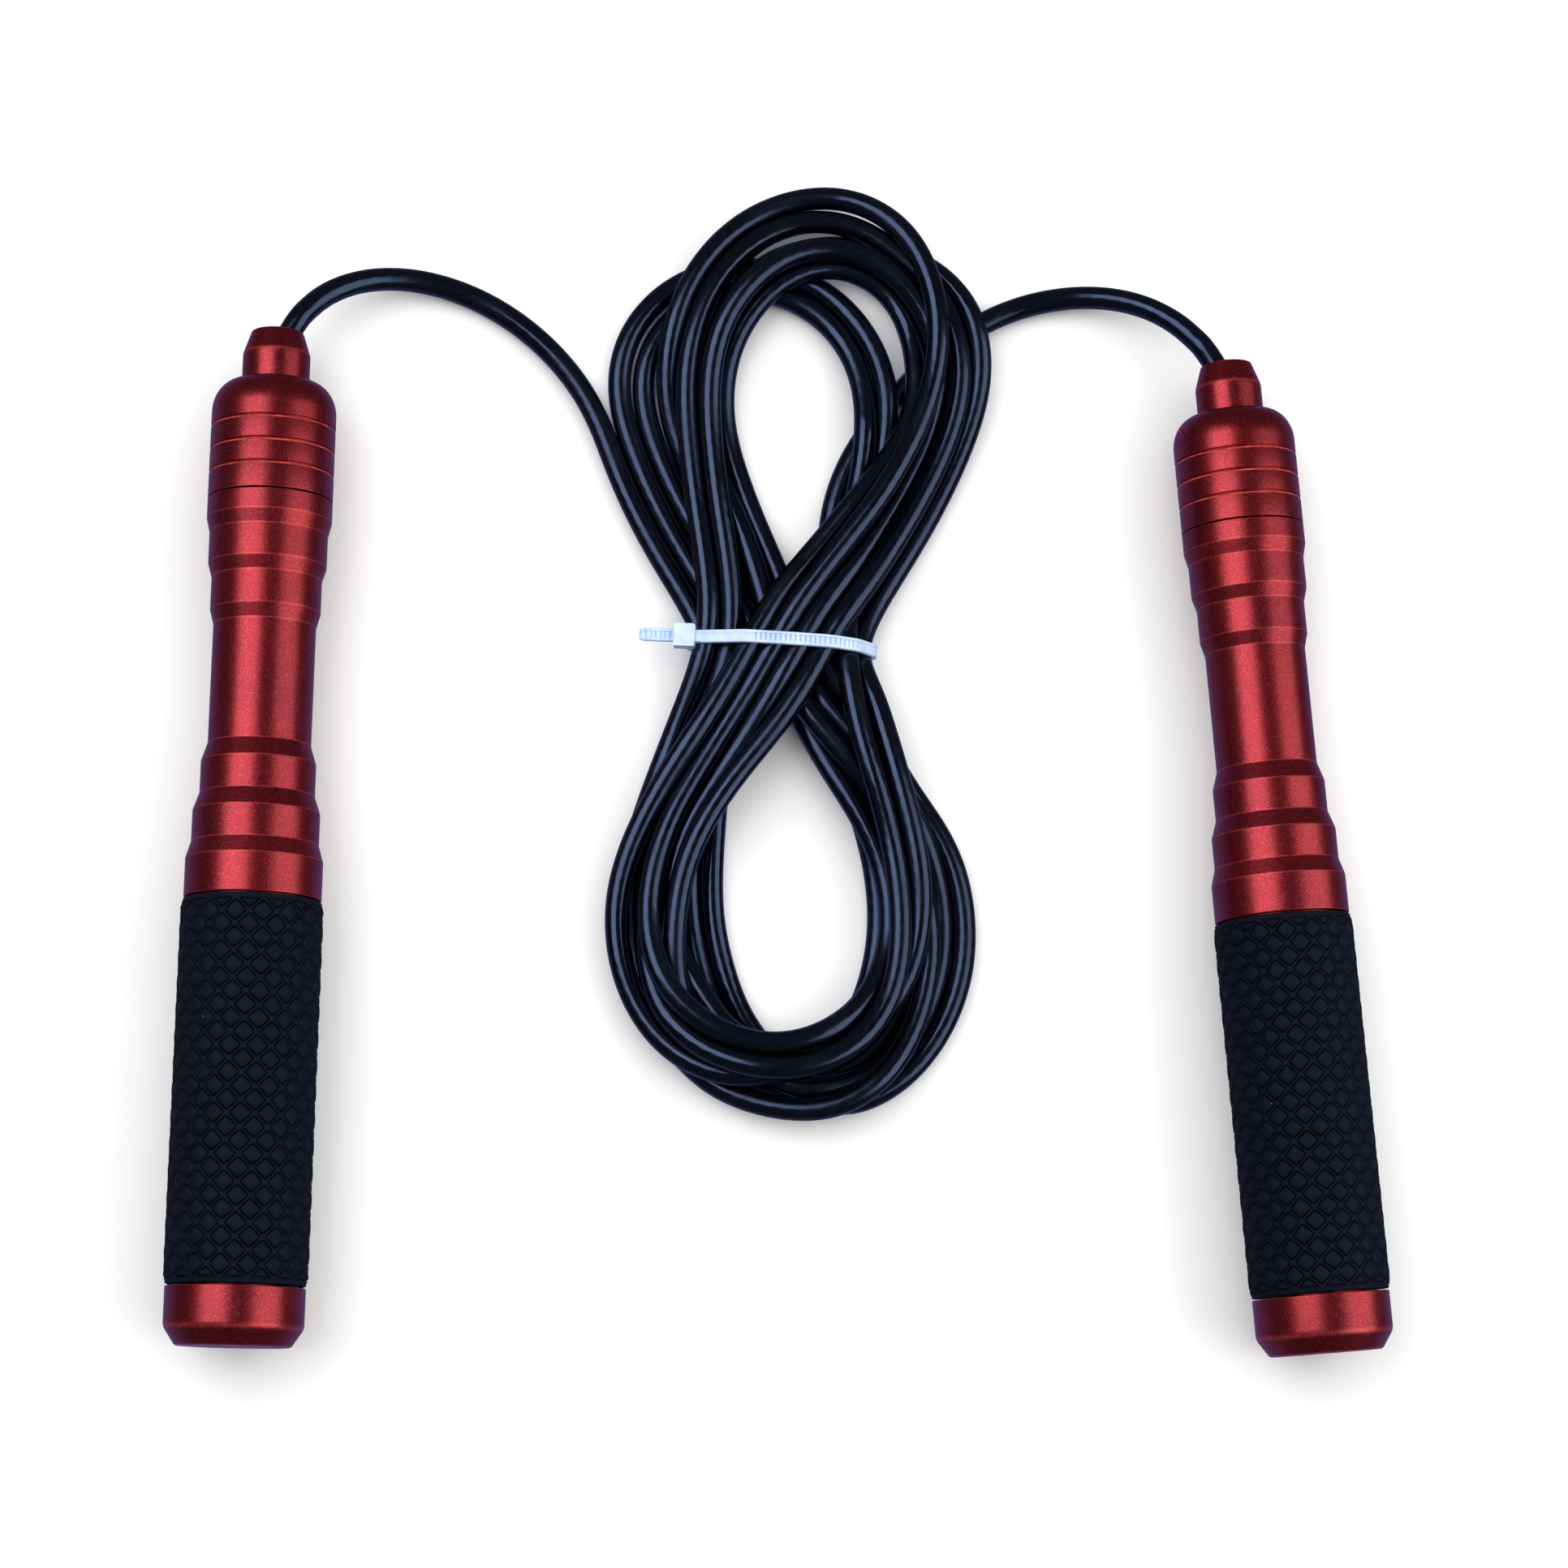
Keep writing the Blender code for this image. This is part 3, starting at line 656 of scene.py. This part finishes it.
def rope_pvc():
    """Glossy, nearly black PVC over twisted steel wire, whose strands show faintly through it."""
    material, tree, shader = new_material(
        "black_pvc_rope", IOR=1.56, Specular_IOR_Level=1.0, Specular_Tint=(0.38, 0.56, 1.0, 1.0)
    )
    lay = add(tree, "ShaderNodeUVMap", uv_map="lay").outputs["UV"]
    parts = add(tree, "ShaderNodeSeparateXYZ", {"Vector": lay})
    where = place(tree)
    drift = math_node(tree, "MULTIPLY", noise(tree, where, 14.0, 1.0), 1.2)
    around = math_node(tree, "MULTIPLY", parts.outputs["X"], 2 * math.pi * WIRE_STRANDS)
    along = math_node(tree, "MULTIPLY_ADD", parts.outputs["Y"], 2 * math.pi / (WIRE_PITCH * MM), drift)
    wave = math_node(tree, "SINE", math_node(tree, "ADD", around, along))
    strand = spread(tree, wave, -0.2, 1.0, 0.0, 1.0)
    cloud = noise(tree, where, 24.0, 2.0)
    warmth = spread(tree, cloud, 0.4, 0.62, 0.0, 1.0)
    shown = mixed(tree, warmth, (0.0013, 0.0016, 0.0030), (0.0024, 0.0020, 0.0020))
    base = mixed(tree, strand, (0.0009, 0.0010, 0.0014), shown)
    tree.links.new(base, shader.inputs["Base Color"])
    haze = noise(tree, where, 13.0, 3.0, 0.6)
    tree.links.new(spread(tree, haze, 0.35, 0.65, 0.12, 0.28), shader.inputs["Roughness"])
    swell = bump(tree, shader, wave, 0.010, 0.4)
    bump(tree, shader, noise(tree, where, 2.5, 2.0), 0.03, 0.15, swell)
    return material


def nylon():
    """Milky, slightly see-through nylon with flow marks, and painted shade in the deep recesses between the
    teeth.
    """
    material, tree, shader = new_material("natural_nylon", Transmission_Weight=0.16, IOR=1.45)
    where = place(tree)
    flow = noise(tree, where, 3.5, 3.0, 0.6)
    base = mixed(tree, spread(tree, flow, 0.35, 0.65, 0.0, 1.0), (0.50, 0.67, 0.96), (0.70, 0.83, 1.0))
    # Painted shade: the floors of the deep recesses between the teeth are a darker blue.
    groove = add(tree, "ShaderNodeAttribute", attribute_name="groove").outputs["Fac"]
    base = mixed(tree, groove, base, (0.36, 0.52, 0.86))
    tree.links.new(base, shader.inputs["Base Color"])
    tree.links.new(spread(tree, flow, 0.3, 0.7, 0.26, 0.42), shader.inputs["Roughness"])
    bump(tree, shader, noise(tree, where, 0.5, 2.0), 0.02, 0.4)
    return material


def turned_metal(name, light, dark, low, high):
    """Bare metal with fine turning marks."""
    material, tree, shader = new_material(name, Metallic=1.0)
    where = place(tree)
    stretched = add(tree, "ShaderNodeVectorMath", {0: where, 1: (1.0, 14.0, 1.0)}, operation="MULTIPLY")
    marks = noise(tree, stretched.outputs["Vector"], 1.6, 4.0, 0.65)
    base = mixed(tree, spread(tree, marks, 0.35, 0.65, 0.0, 1.0), dark, light)
    tree.links.new(base, shader.inputs["Base Color"])
    tree.links.new(spread(tree, marks, 0.3, 0.7, low, high), shader.inputs["Roughness"])
    bump(tree, shader, marks, 0.01, 0.4)
    return material


RED = red_aluminium()
SILICONE = silicone()
PVC = rope_pvc()
NYLON = nylon()
STEEL = turned_metal("turned_steel", (0.62, 0.63, 0.65), (0.45, 0.46, 0.48), 0.18, 0.32)
BRASS = turned_metal("turned_brass", (0.72, 0.52, 0.22), (0.55, 0.37, 0.13), 0.24, 0.38)


def dress(item, material, slot, body, *nodes):
    """Gives a piece its material and its body, and hides the CAD nodes that it stands for. The slot is not
    used.
    """
    item.data.materials.append(material)
    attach(item, body)
    if nodes:
        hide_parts(*nodes)
    return item


# ---------------------------------------------------------------- the rope

NOSE_TIP = -9.1
ROPE_END = 33.0  # the station where the rope ends, inside the handle
line = resample(spline(ROPE_PATH, 4), 1.25)
rope = tube_mesh("jump_rope", line, ROPE / 2)
dress(rope, PVC, "black_pvc", "rope", "rope_hank", "left_lead", "right_lead")


def handle_matrix(side):
    """World matrix of a handle's axis, from its swivel: +Z out of the nose, +X level, at station 0."""
    joint = next(j for j in frame["joints"] if j["name"] == side + "_swivel")
    nose = Vector(joint["axis"]).normalized()
    level_way = Vector((nose.y, -nose.x, 0)).normalized()
    matrix = Matrix((level_way, nose.cross(level_way), nose)).transposed().to_4x4()
    matrix.translation = Vector(joint["pos_m"])
    return matrix


AXES = {side: handle_matrix(side) for side in ("left", "right")}

for side in ("left", "right"):
    start = line[0] if side == "left" else line[-1]
    end = AXES[side] @ Vector((0, 0, -ROPE_END * MM)) / MM
    inner = resample(np.array([start, np.array(end)]), 2.0)
    piece = tube_mesh(side + "_rope_end", inner, ROPE / 2)
    dress(piece, PVC, "black_pvc", "rope", side + "_rope_tail")

# ---------------------------------------------------------------- handles

NOSE_RADIUS = 6.45
SHOULDER_START, SHOULDER_END = 1.1, 7.3
HEAD_RADIUS = 11.87
HEAD_END = 24.1
GAP = 0.3
GROOVE_STATIONS = (10.2, 14.7, 19.2)
# Corners of the tube's steps between the head and the grip: station, radius
NECK_STEPS = (
    (28.2, 11.87),
    (30.9, 11.23),
    (37.0, 11.23),
    (39.7, 10.45),
    (46.0, 10.45),
    (48.8, 9.71),
    (71.7, 9.71),
    (75.15, 10.82),
    (81.3, 10.82),
    (84.65, 11.96),
    (90.65, 11.96),
    (93.8, 12.89),
)
GRIP_START, GRIP_END = 101.5, 173.2
GRIP_RADIUS = 13.35
CAP_RADIUS = 12.97
# How many points go round a turned piece
SIDES_ROUND, NOSE_SIDES_ROUND = 160, 96


def head_outline():
    """The head: a round shoulder, three V-grooves with a painted highlight along one flank of each, and the
    sleeve behind them.
    """
    mouth = NOSE_RADIUS + GAP
    outline = [(2.2, mouth, 0.05), (SHOULDER_START, mouth, 0.06)]
    steps = 14
    for step in range(steps + 1):
        angle = math.pi / 2 * step / steps
        station = SHOULDER_START + (SHOULDER_END - SHOULDER_START) * (1 - math.cos(angle))
        outline.append((station, 7.1 + (HEAD_RADIUS - 7.1) * math.sin(angle), 0.12 if step == 0 else 0.0))
    for station in GROOVE_STATIONS:
        outline += [(station - 0.38, HEAD_RADIUS, 0.05), (station - 0.3, HEAD_RADIUS - 0.5, 0)]
        # A fourth value of 1 paints a highlight along the groove's flank on the end cap's side.
        outline += [(station, HEAD_RADIUS - 0.5, 0), (station + 0.04, HEAD_RADIUS - 0.14, 0, 1)]
        outline += [(station + 0.36, HEAD_RADIUS - 0.01, 0, 1), (station + 0.42, HEAD_RADIUS, 0)]
    outline += [(HEAD_END, HEAD_RADIUS, 0.10), (HEAD_END, 9.2, 0.05), (31.0, 9.2, 0.3)]
    return outline + [(31.0, 8.15, 0.1), (2.2, 8.15, 0.1)]


def tube_outline():
    """The handle tube: its stepped neck, and the thinner length under the grip."""
    outline = [(HEAD_END + GAP, 9.5, 0.1), (HEAD_END + GAP, HEAD_RADIUS, 0.10)]
    outline += [(station, radius, 0.22) for station, radius in NECK_STEPS]
    outline += [(GRIP_START - GAP, 12.89, 0.2), (GRIP_START - GAP, 11.6, 0.1), (GRIP_END, 11.6, 0.1)]
    outline += [(GRIP_END, 9.5, 0.1), (160.7, 9.5, 0.1), (160.7, 8.3, 0.1)]
    return outline + [(31.3, 8.3, 0.1), (31.3, 9.5, 0.1)]


def end_cap_outline():
    rim = GRIP_END + GAP
    return [
        (rim, 9.2, 0.05),
        (rim, CAP_RADIUS, 0.18),
        (180.9, CAP_RADIUS, 0.8),
        (184.4, 10.65, 0.5),
        (184.4, 0, 0),
        (rim, 0, 0),
        (rim, 6.5, 0.1),
        (161.0, 6.5, 0.1),
        (161.0, 9.2, 0.3),
    ]


def spindle_outline():
    """The nose that stays still, with the rope's mouth in its tip, and the shaft behind it."""
    return [
        (NOSE_TIP + 5.0, 2.65, 0.3),
        (NOSE_TIP + 0.45, 3.75, 0.3),
        (NOSE_TIP, 4.1, 0.25),
        (NOSE_TIP, 4.95, 0.45),
        (-4.6, NOSE_RADIUS, 0.5),
        (2.2, NOSE_RADIUS, 0.1),
        (2.2, 3.85, 0.1),
        (24.0, 3.85, 0.2),
        (24.0, 2.65, 0.1),
    ]


PADS_ROUND, PADS_ALONG = 16, 14
LIP = 0.9  # the plain ring at each end of the grip
LIP_RADIUS = 13.0
PATTERN = (GRIP_START + LIP, GRIP_END - LIP)
PITCH_ROUND = 2 * math.pi * GRIP_RADIUS / PADS_ROUND
PITCH_ALONG = (PATTERN[1] - PATTERN[0]) / PADS_ALONG
CELL = 5.12  # the diagonal of a pad's cell once both pitches are brought to one size
HALF_CELL = CELL / (2 * math.sqrt(2))
RIDGE = 0.18  # half the ridge between two pads
GROOVE, GROOVE_DEPTH = 0.3, 0.42  # the groove round each pad
PAD_CORNER = 0.68
SKIRT = 2.5  # how far the flat tread is made past the sleeve's edges, before it is cut
SLEEVE_BORE = 11.9


def tread(x, y):
    """Radius, groove share and pad share of the grip's skin, with x round the grip and y along it."""
    u = x / PITCH_ROUND
    v = (y - PATTERN[0]) / PITCH_ALONG
    e, f = (u + v) * CELL / math.sqrt(2), (u - v) * CELL / math.sqrt(2)
    size = 2 * HALF_CELL
    e = np.abs(e - size * np.round(e / size))
    f = np.abs(f - size * np.round(f / size))
    inside = HALF_CELL - RIDGE - PAD_CORNER
    out = np.hypot(np.maximum(e - inside, 0), np.maximum(f - inside, 0))
    away = out + np.minimum(np.maximum(e - inside, f - inside), 0) - PAD_CORNER
    ends = np.maximum(PATTERN[0] + 0.1 - y, y - PATTERN[1] + 0.1)
    away = np.maximum(away, ends)

    def step(a, b, value):
        t = np.clip((value - a) / (b - a), 0, 1)
        return t * t * (3 - 2 * t)

    groove = step(-GROOVE, -GROOVE + 0.09, away) * (1 - step(-0.08, 0.0, away))
    pad = 1 - step(-GROOVE - 0.02, -GROOVE + 0.09, away)
    dome = step(-GROOVE, -GROOVE - 0.5, away)
    ridge_radius = GRIP_RADIUS - 0.17
    radius = ridge_radius + pad * (0.05 + 0.16 * dome) - GROOVE_DEPTH * groove
    lip = step(0.05, 0.35, ends)
    radius = radius - lip * (ridge_radius - LIP_RADIUS)
    return radius, groove, pad


def grip(name, matrix):
    """A sleeve whose mesh lines follow the diagonal grooves of its tread, wrapped round the handle."""
    marks = [HALF_CELL - RIDGE, HALF_CELL - RIDGE - 0.08, HALF_CELL - RIDGE - GROOVE + 0.09]
    marks += [HALF_CELL - RIDGE - GROOVE, HALF_CELL - RIDGE - GROOVE - 0.3]
    offsets = np.array([-HALF_CELL] + [-m for m in marks] + [0.0] + marks[::-1])
    size = 2 * HALF_CELL
    width = PADS_ROUND * PITCH_ROUND
    span = PADS_ROUND + 16
    lines = np.concatenate([offsets + size * k for k in range(-span, span + 1)])
    e, f = np.meshgrid(lines, lines, indexing="ij")
    u, v = (e + f) / (CELL * math.sqrt(2)), (e - f) / (CELL * math.sqrt(2))
    x, y = u * PITCH_ROUND, v * PITCH_ALONG + PATTERN[0]
    good = (x > -SKIRT) & (x < width + SKIRT) & (y > GRIP_START - SKIRT) & (y < GRIP_END + SKIRT)
    cells = good[:-1, :-1] & good[1:, :-1] & good[1:, 1:] & good[:-1, 1:]
    index = np.arange(x.size).reshape(x.shape)
    i, j = np.nonzero(cells)
    quads = np.column_stack([index[i, j], index[i + 1, j], index[i + 1, j + 1], index[i, j + 1]])
    used, quads = np.unique(quads, return_inverse=True)
    flat = np.column_stack([x.ravel()[used], y.ravel()[used], np.zeros(len(used))])
    mesh = bpy.data.meshes.new(name)
    mesh.from_pydata(flat.tolist(), [], quads.reshape(-1, 4).tolist())
    shape = bmesh.new()
    shape.from_mesh(mesh)
    bpy.data.meshes.remove(mesh)

    def cut(point, normal, clear):
        everything = list(shape.verts) + list(shape.edges) + list(shape.faces)
        plane = {"plane_co": point, "plane_no": normal}
        bmesh.ops.bisect_plane(shape, geom=everything, dist=1e-5, clear_outer=clear, **plane)

    cut((0, 0, 0), (-1, 0, 0), True)
    cut((width, 0, 0), (1, 0, 0), True)
    cut((0, GRIP_START, 0), (0, -1, 0), True)
    cut((0, GRIP_END, 0), (0, 1, 0), True)
    for low in (0.25, 0.55, 0.7, LIP - 0.05, LIP + 0.1, LIP + 0.18, LIP + 0.36, LIP + 0.45, LIP + 0.75):
        cut((0, GRIP_START + low, 0), (0, -1, 0), False)
        cut((0, GRIP_END - low, 0), (0, 1, 0), False)
    co = np.array([vert.co[:] for vert in shape.verts])
    radius, groove, pad = tread(co[:, 0], co[:, 1])
    near_end = np.minimum(co[:, 1] - GRIP_START, GRIP_END - co[:, 1])
    radius = radius - 0.3 * np.clip(1 - near_end / 0.25, 0, 1) ** 2
    groove_layer = shape.verts.layers.float.new("groove")
    pad_layer = shape.verts.layers.float.new("pad")
    shape.verts.ensure_lookup_table()
    angle = co[:, 0] / width * 2 * math.pi
    for n, vert in enumerate(shape.verts):
        vert[groove_layer] = groove[n]
        vert[pad_layer] = pad[n]
        vert.co = (radius[n] * math.cos(angle[n]) * MM, radius[n] * math.sin(angle[n]) * MM, -co[n, 1] * MM)
    bmesh.ops.remove_doubles(shape, verts=shape.verts, dist=2e-6)
    rims = []
    for station in (GRIP_START, GRIP_END):
        loop = [e for e in shape.edges if e.is_boundary and abs(e.verts[0].co.z + station * MM) < 1e-5]
        made = bmesh.ops.extrude_edge_only(shape, edges=loop)["geom"]
        for vert in (v for v in made if isinstance(v, bmesh.types.BMVert)):
            scale = SLEEVE_BORE * MM / math.hypot(vert.co.x, vert.co.y)
            vert.co.x *= scale
            vert.co.y *= scale
        rims += [e for e in made if isinstance(e, bmesh.types.BMEdge)]
    bmesh.ops.bridge_loops(shape, edges=rims)
    return finished(name, shape, matrix)


for side, axis in AXES.items():
    body = side + "_handle"
    head = turned(side + "_head_shell", head_outline(), axis, SIDES_ROUND)
    dress(head, RED, "red_aluminium", body, side + "_head")
    tube = turned(side + "_tube_shell", tube_outline(), axis, SIDES_ROUND)
    dress(tube, RED, "red_aluminium", body, side + "_handle_tube")
    cap = turned(side + "_cap_shell", end_cap_outline(), axis, SIDES_ROUND)
    dress(cap, RED, "red_aluminium", body, side + "_end_cap")
    dress(grip(side + "_grip_sleeve", axis), SILICONE, "blue_silicone", body, side + "_grip")
    nose = turned(side + "_nose", spindle_outline(), axis, NOSE_SIDES_ROUND)
    dress(nose, RED, "red_aluminium", "rope", side + "_spindle")

# ---------------------------------------------------------------- cable tie

TIE_MIDDLE_X = 0.5
TIE_TURN = math.radians(2.8)
TIE = Matrix.Translation(Vector((TIE_MIDDLE_X, TIE_Y, 0)) * MM) @ Matrix.Rotation(-TIE_TURN, 4, "Z")
STRAP_WIDTH = 2.5
STRAP_THICK = 1.0
STRAP_STEP = 0.19  # between two cross-sections of the strap
LADDER = 0.95  # between two teeth
TIE_HEAD = (4.1, 4.4, 3.5)
TAIL_LENGTH, TAIL_SECTIONS = 11.9, 46
PLAIN_TAIL = 5.0  # the part of the free end inside the head, which shows no teeth


def strap_loop():
    """The tight loop round the strands, in the tie's own X and Z, with evenly spaced points."""
    x = line[:, 0] - TIE_MIDDLE_X
    y = line[:, 1] - TIE_Y
    across = x * math.cos(TIE_TURN) - y * math.sin(TIE_TURN)
    off = x * math.sin(TIE_TURN) + y * math.cos(TIE_TURN)
    under = np.abs(off) < 1.9
    points = np.column_stack([across[under], line[under, 2]])
    reach = ROPE / 2 + 0.1
    hull = []
    for k in range(720):
        angle = 2 * math.pi * k / 720
        way = np.array([math.cos(angle), math.sin(angle)])
        hull.append(points[np.argmax(points @ way)] + way * reach)
    hull = np.array(hull + hull[:1])
    s = walked(hull)
    u = np.linspace(0, s[-1], int(s[-1] / STRAP_STEP), endpoint=False)
    loop = np.column_stack([np.interp(u, s, hull[:, k]) for k in range(2)])
    wide = 9
    kernel = np.hanning(wide + 2)[1:-1]
    kernel /= kernel.sum()
    for _ in range(2):
        padded = np.vstack([loop[-wide:], loop, loop[:wide]])
        loop = np.column_stack([np.convolve(padded[:, k], kernel, "same")[wide:-wide] for k in range(2)])
    loop[:, 1] = np.maximum(loop[:, 1], 1.12)
    return loop


def sweep(shape, centres, outwards, section_of, closed):
    """Joins cross-sections of (sideways, outwards) points along a line in the tie's X and Z."""
    groove = shape.verts.layers.float["groove"]
    rings = []
    for n, (centre, out) in enumerate(zip(centres, outwards)):
        ring = []
        for sideways, height in section_of(n):
            place_at = ((centre[0] + out[0] * height) * MM, sideways * MM, (centre[1] + out[1] * height) * MM)
            vert = shape.verts.new(place_at)
            # Points deep in a recess between the teeth get the groove mark, which paints shade there.
            vert[groove] = float(0.3 < height < STRAP_THICK - 0.22)
            ring.append(vert)
        rings.append(ring)
    count = len(rings)
    for n in range(count if closed else count - 1):
        ring, after = rings[n], rings[(n + 1) % count]
        for k in range(len(ring)):
            b = (k + 1) % len(ring)
            shape.faces.new((ring[k], ring[b], after[b], after[k]))
    if not closed:
        shape.faces.new(rings[0])
        shape.faces.new(rings[-1][::-1])


def strap_section(width, recess):
    """Half-rounded rails with a recessed middle between them."""
    half, top = width / 2, STRAP_THICK
    right = [(half - 0.15, 0), (half, 0.15), (half, top - 0.2), (half - 0.12, top - 0.03)]
    right += [(half - 0.3, top), (half - 0.52, top), (half - 0.6, top - recess)]
    left = [(-sideways, height) for sideways, height in right]
    return left[:1] + right + left[:0:-1]


def cable_tie():
    """The strap round the waist, its head and its cut free end, in one piece."""
    loop = strap_loop()
    tangent = np.roll(loop, -1, axis=0) - np.roll(loop, 1, axis=0)
    tangent /= np.linalg.norm(tangent, axis=1)[:, None]
    out = np.column_stack([tangent[:, 1], -tangent[:, 0]])

    def section_of(n):
        x, z = loop[n]
        plain = z > 6 and x < -6.5
        phase = (n * STRAP_STEP / LADDER + 0.05) % 1
        tooth = 0.30 if phase < 0.15 else 0.08
        return strap_section(STRAP_WIDTH, 0.05 if plain else tooth)

    shape = bmesh.new()
    shape.verts.layers.float.new("groove")
    sweep(shape, loop, out, section_of, True)

    # The free end goes on through the head, in line with the strap where it reaches the bundle's left top
    top = loop[:, 1] > 6
    k = np.argmin(np.abs(loop[:, 0] + 16.4) + 100 * ~top)
    way = np.array([-1.0, -0.16])
    way /= np.linalg.norm(way)
    start = loop[k] + out[k] * 0.15
    centres = [start + way * TAIL_LENGTH * n / (TAIL_SECTIONS - 1) for n in range(TAIL_SECTIONS)]
    up = np.array([way[1], -way[0]])

    def tail_section(n):
        s = TAIL_LENGTH * n / (TAIL_SECTIONS - 1)
        width = 2.4 + 0.1 * min(max((s - 5.2) / 0.8, 0), 1) - 0.95 * max(0, (s - 10.9) / 1.0) ** 2
        phase = (s / LADDER) % 1
        recess = 0.26 if phase < 0.25 else 0.10
        return strap_section(width, recess if s > PLAIN_TAIL else 0.05)

    sweep(shape, centres, [up] * TAIL_SECTIONS, tail_section, False)

    head = bmesh.ops.create_cube(shape, size=1.0)["verts"]
    middle = start + way * 3.05 + up * 0.25
    slope = math.atan2(way[1], way[0]) - math.pi
    place_head = (
        Matrix.Translation((middle[0] * MM, 0, middle[1] * MM))
        @ Matrix.Rotation(-slope, 4, "Y")
        @ Matrix.Diagonal((*(size * MM for size in TIE_HEAD), 1.0))
    )
    bmesh.ops.transform(shape, matrix=place_head, verts=head)
    faces = [face for face in shape.faces if all(vert in head for vert in face.verts)]
    # A shallow frame round the slot where the free end comes out
    outer = [face for face in faces if face.calc_center_median().x < (middle[0] - 1.5) * MM]
    bmesh.ops.inset_region(shape, faces=outer, thickness=0.55 * MM, depth=0.0)
    bmesh.ops.inset_region(shape, faces=outer, thickness=0.12 * MM, depth=-0.4 * MM)
    edges = [edge for edge in shape.edges if all(vert in head for vert in edge.verts)]
    bmesh.ops.bevel(shape, geom=edges, offset=0.38 * MM, segments=4, profile=0.5, affect="EDGES")
    item = finished("nylon_cable_tie", shape, TIE)
    item.data.set_sharp_from_angle(angle=math.radians(40))
    return item


dress(cable_tie(), NYLON, "nylon", "rope", "cable_tie")

# ---------------------------------------------------------------- CAD pieces that stay as they are

BARE = {"circlip": STEEL, "outer_spacer": RED, "spindle_nut": STEEL, "inner_spacer": STEEL}
BARE |= {"cord_stop": BRASS, "clamp_screw": STEEL}
for bearing in ("front", "rear"):
    BARE |= {bearing + "_" + part: STEEL for part in ("outer_race", "inner_race", "balls")}
for side in ("left", "right"):
    for kind, material in BARE.items():
        node = frame["nodes"][side + "_" + kind]
        for material_slot in node.material_slots:
            material_slot.material = material

# ---------------------------------------------------------------- floor and lights


def floor():
    """A plain pale floor, which glossy surfaces don't mirror."""
    shape = bmesh.new()
    bmesh.ops.create_grid(shape, x_segments=4, y_segments=4, size=40.0)
    item = finished("floor", shape)
    material, tree, shader = new_material("pale_floor", Roughness=0.9, Specular_IOR_Level=0.1)
    cloud = noise(tree, place(tree), 60.0, 2.0)
    base = mixed(tree, spread(tree, cloud, 0.3, 0.7, 0.0, 1.0), (0.90, 0.90, 0.90), (0.92, 0.92, 0.92))
    tree.links.new(base, shader.inputs["Base Color"])
    item.data.materials.append(material)
    item.visible_glossy = False


def area_light(name, place_at, target, size, size_y, energy, colour):
    """A softbox that faces its target, with its size_y side along the floor's Y as far as it can be."""
    data = bpy.data.lights.new(name, "AREA")
    data.shape = "RECTANGLE"
    data.size, data.size_y = size, size_y
    data.energy = energy
    data.color = colour
    light = bpy.data.objects.new(name, data)
    bpy.context.scene.collection.objects.link(light)
    back = (Vector(place_at) - Vector(target)).normalized()
    along = Vector((0, 1, 0))
    across = along.cross(back).normalized()
    up = back.cross(across).normalized()
    matrix = Matrix((across, up, back)).transposed().to_4x4()
    matrix.translation = Vector(place_at)
    light.matrix_world = matrix
    light.visible_camera = False


def daylight(place_from, spread_degrees, strength):
    """Even, very soft light over the whole floor, which glossy surfaces don't mirror."""
    data = bpy.data.lights.new("daylight", "SUN")
    data.energy = strength
    data.angle = math.radians(spread_degrees)
    light = bpy.data.objects.new("daylight", data)
    bpy.context.scene.collection.objects.link(light)
    light.rotation_euler = Vector(place_from).to_track_quat("Z", "Y").to_euler()
    light.visible_camera = False
    light.visible_glossy = False


def studio_world():
    """A dim room, a little bluer below, which the undersides of glossy surfaces pick up."""
    world = bpy.data.worlds.new("studio")
    bpy.context.scene.world = world
    world.use_nodes = True
    sky = world.node_tree
    direction = add(sky, "ShaderNodeTexCoord").outputs["Generated"]
    height = add(sky, "ShaderNodeSeparateXYZ", {"Vector": direction}).outputs["Z"]
    share = spread(sky, height, -0.6, -0.2, 0.0, 1.0)
    glow = mixed(sky, share, (0.15, 0.17, 0.34), (0.06, 0.06, 0.07))
    sky.links.new(glow, sky.nodes["Background"].inputs["Color"])


floor()
area_light("left_softbox", (-0.84, 0.28, 1.20), (0, 0.05, 0), 1.2, 0.95, 8.4, (1.0, 0.96, 0.98))
area_light("right_softbox", (1.20, -0.20, 0.86), (0, 0.0, 0), 1.4, 1.5, 10.2, (1.0, 0.98, 0.95))
daylight((0.0, 0.42, 1.0), 108, 3.0)
studio_world()
bpy.context.scene.view_settings.view_transform = "Standard"
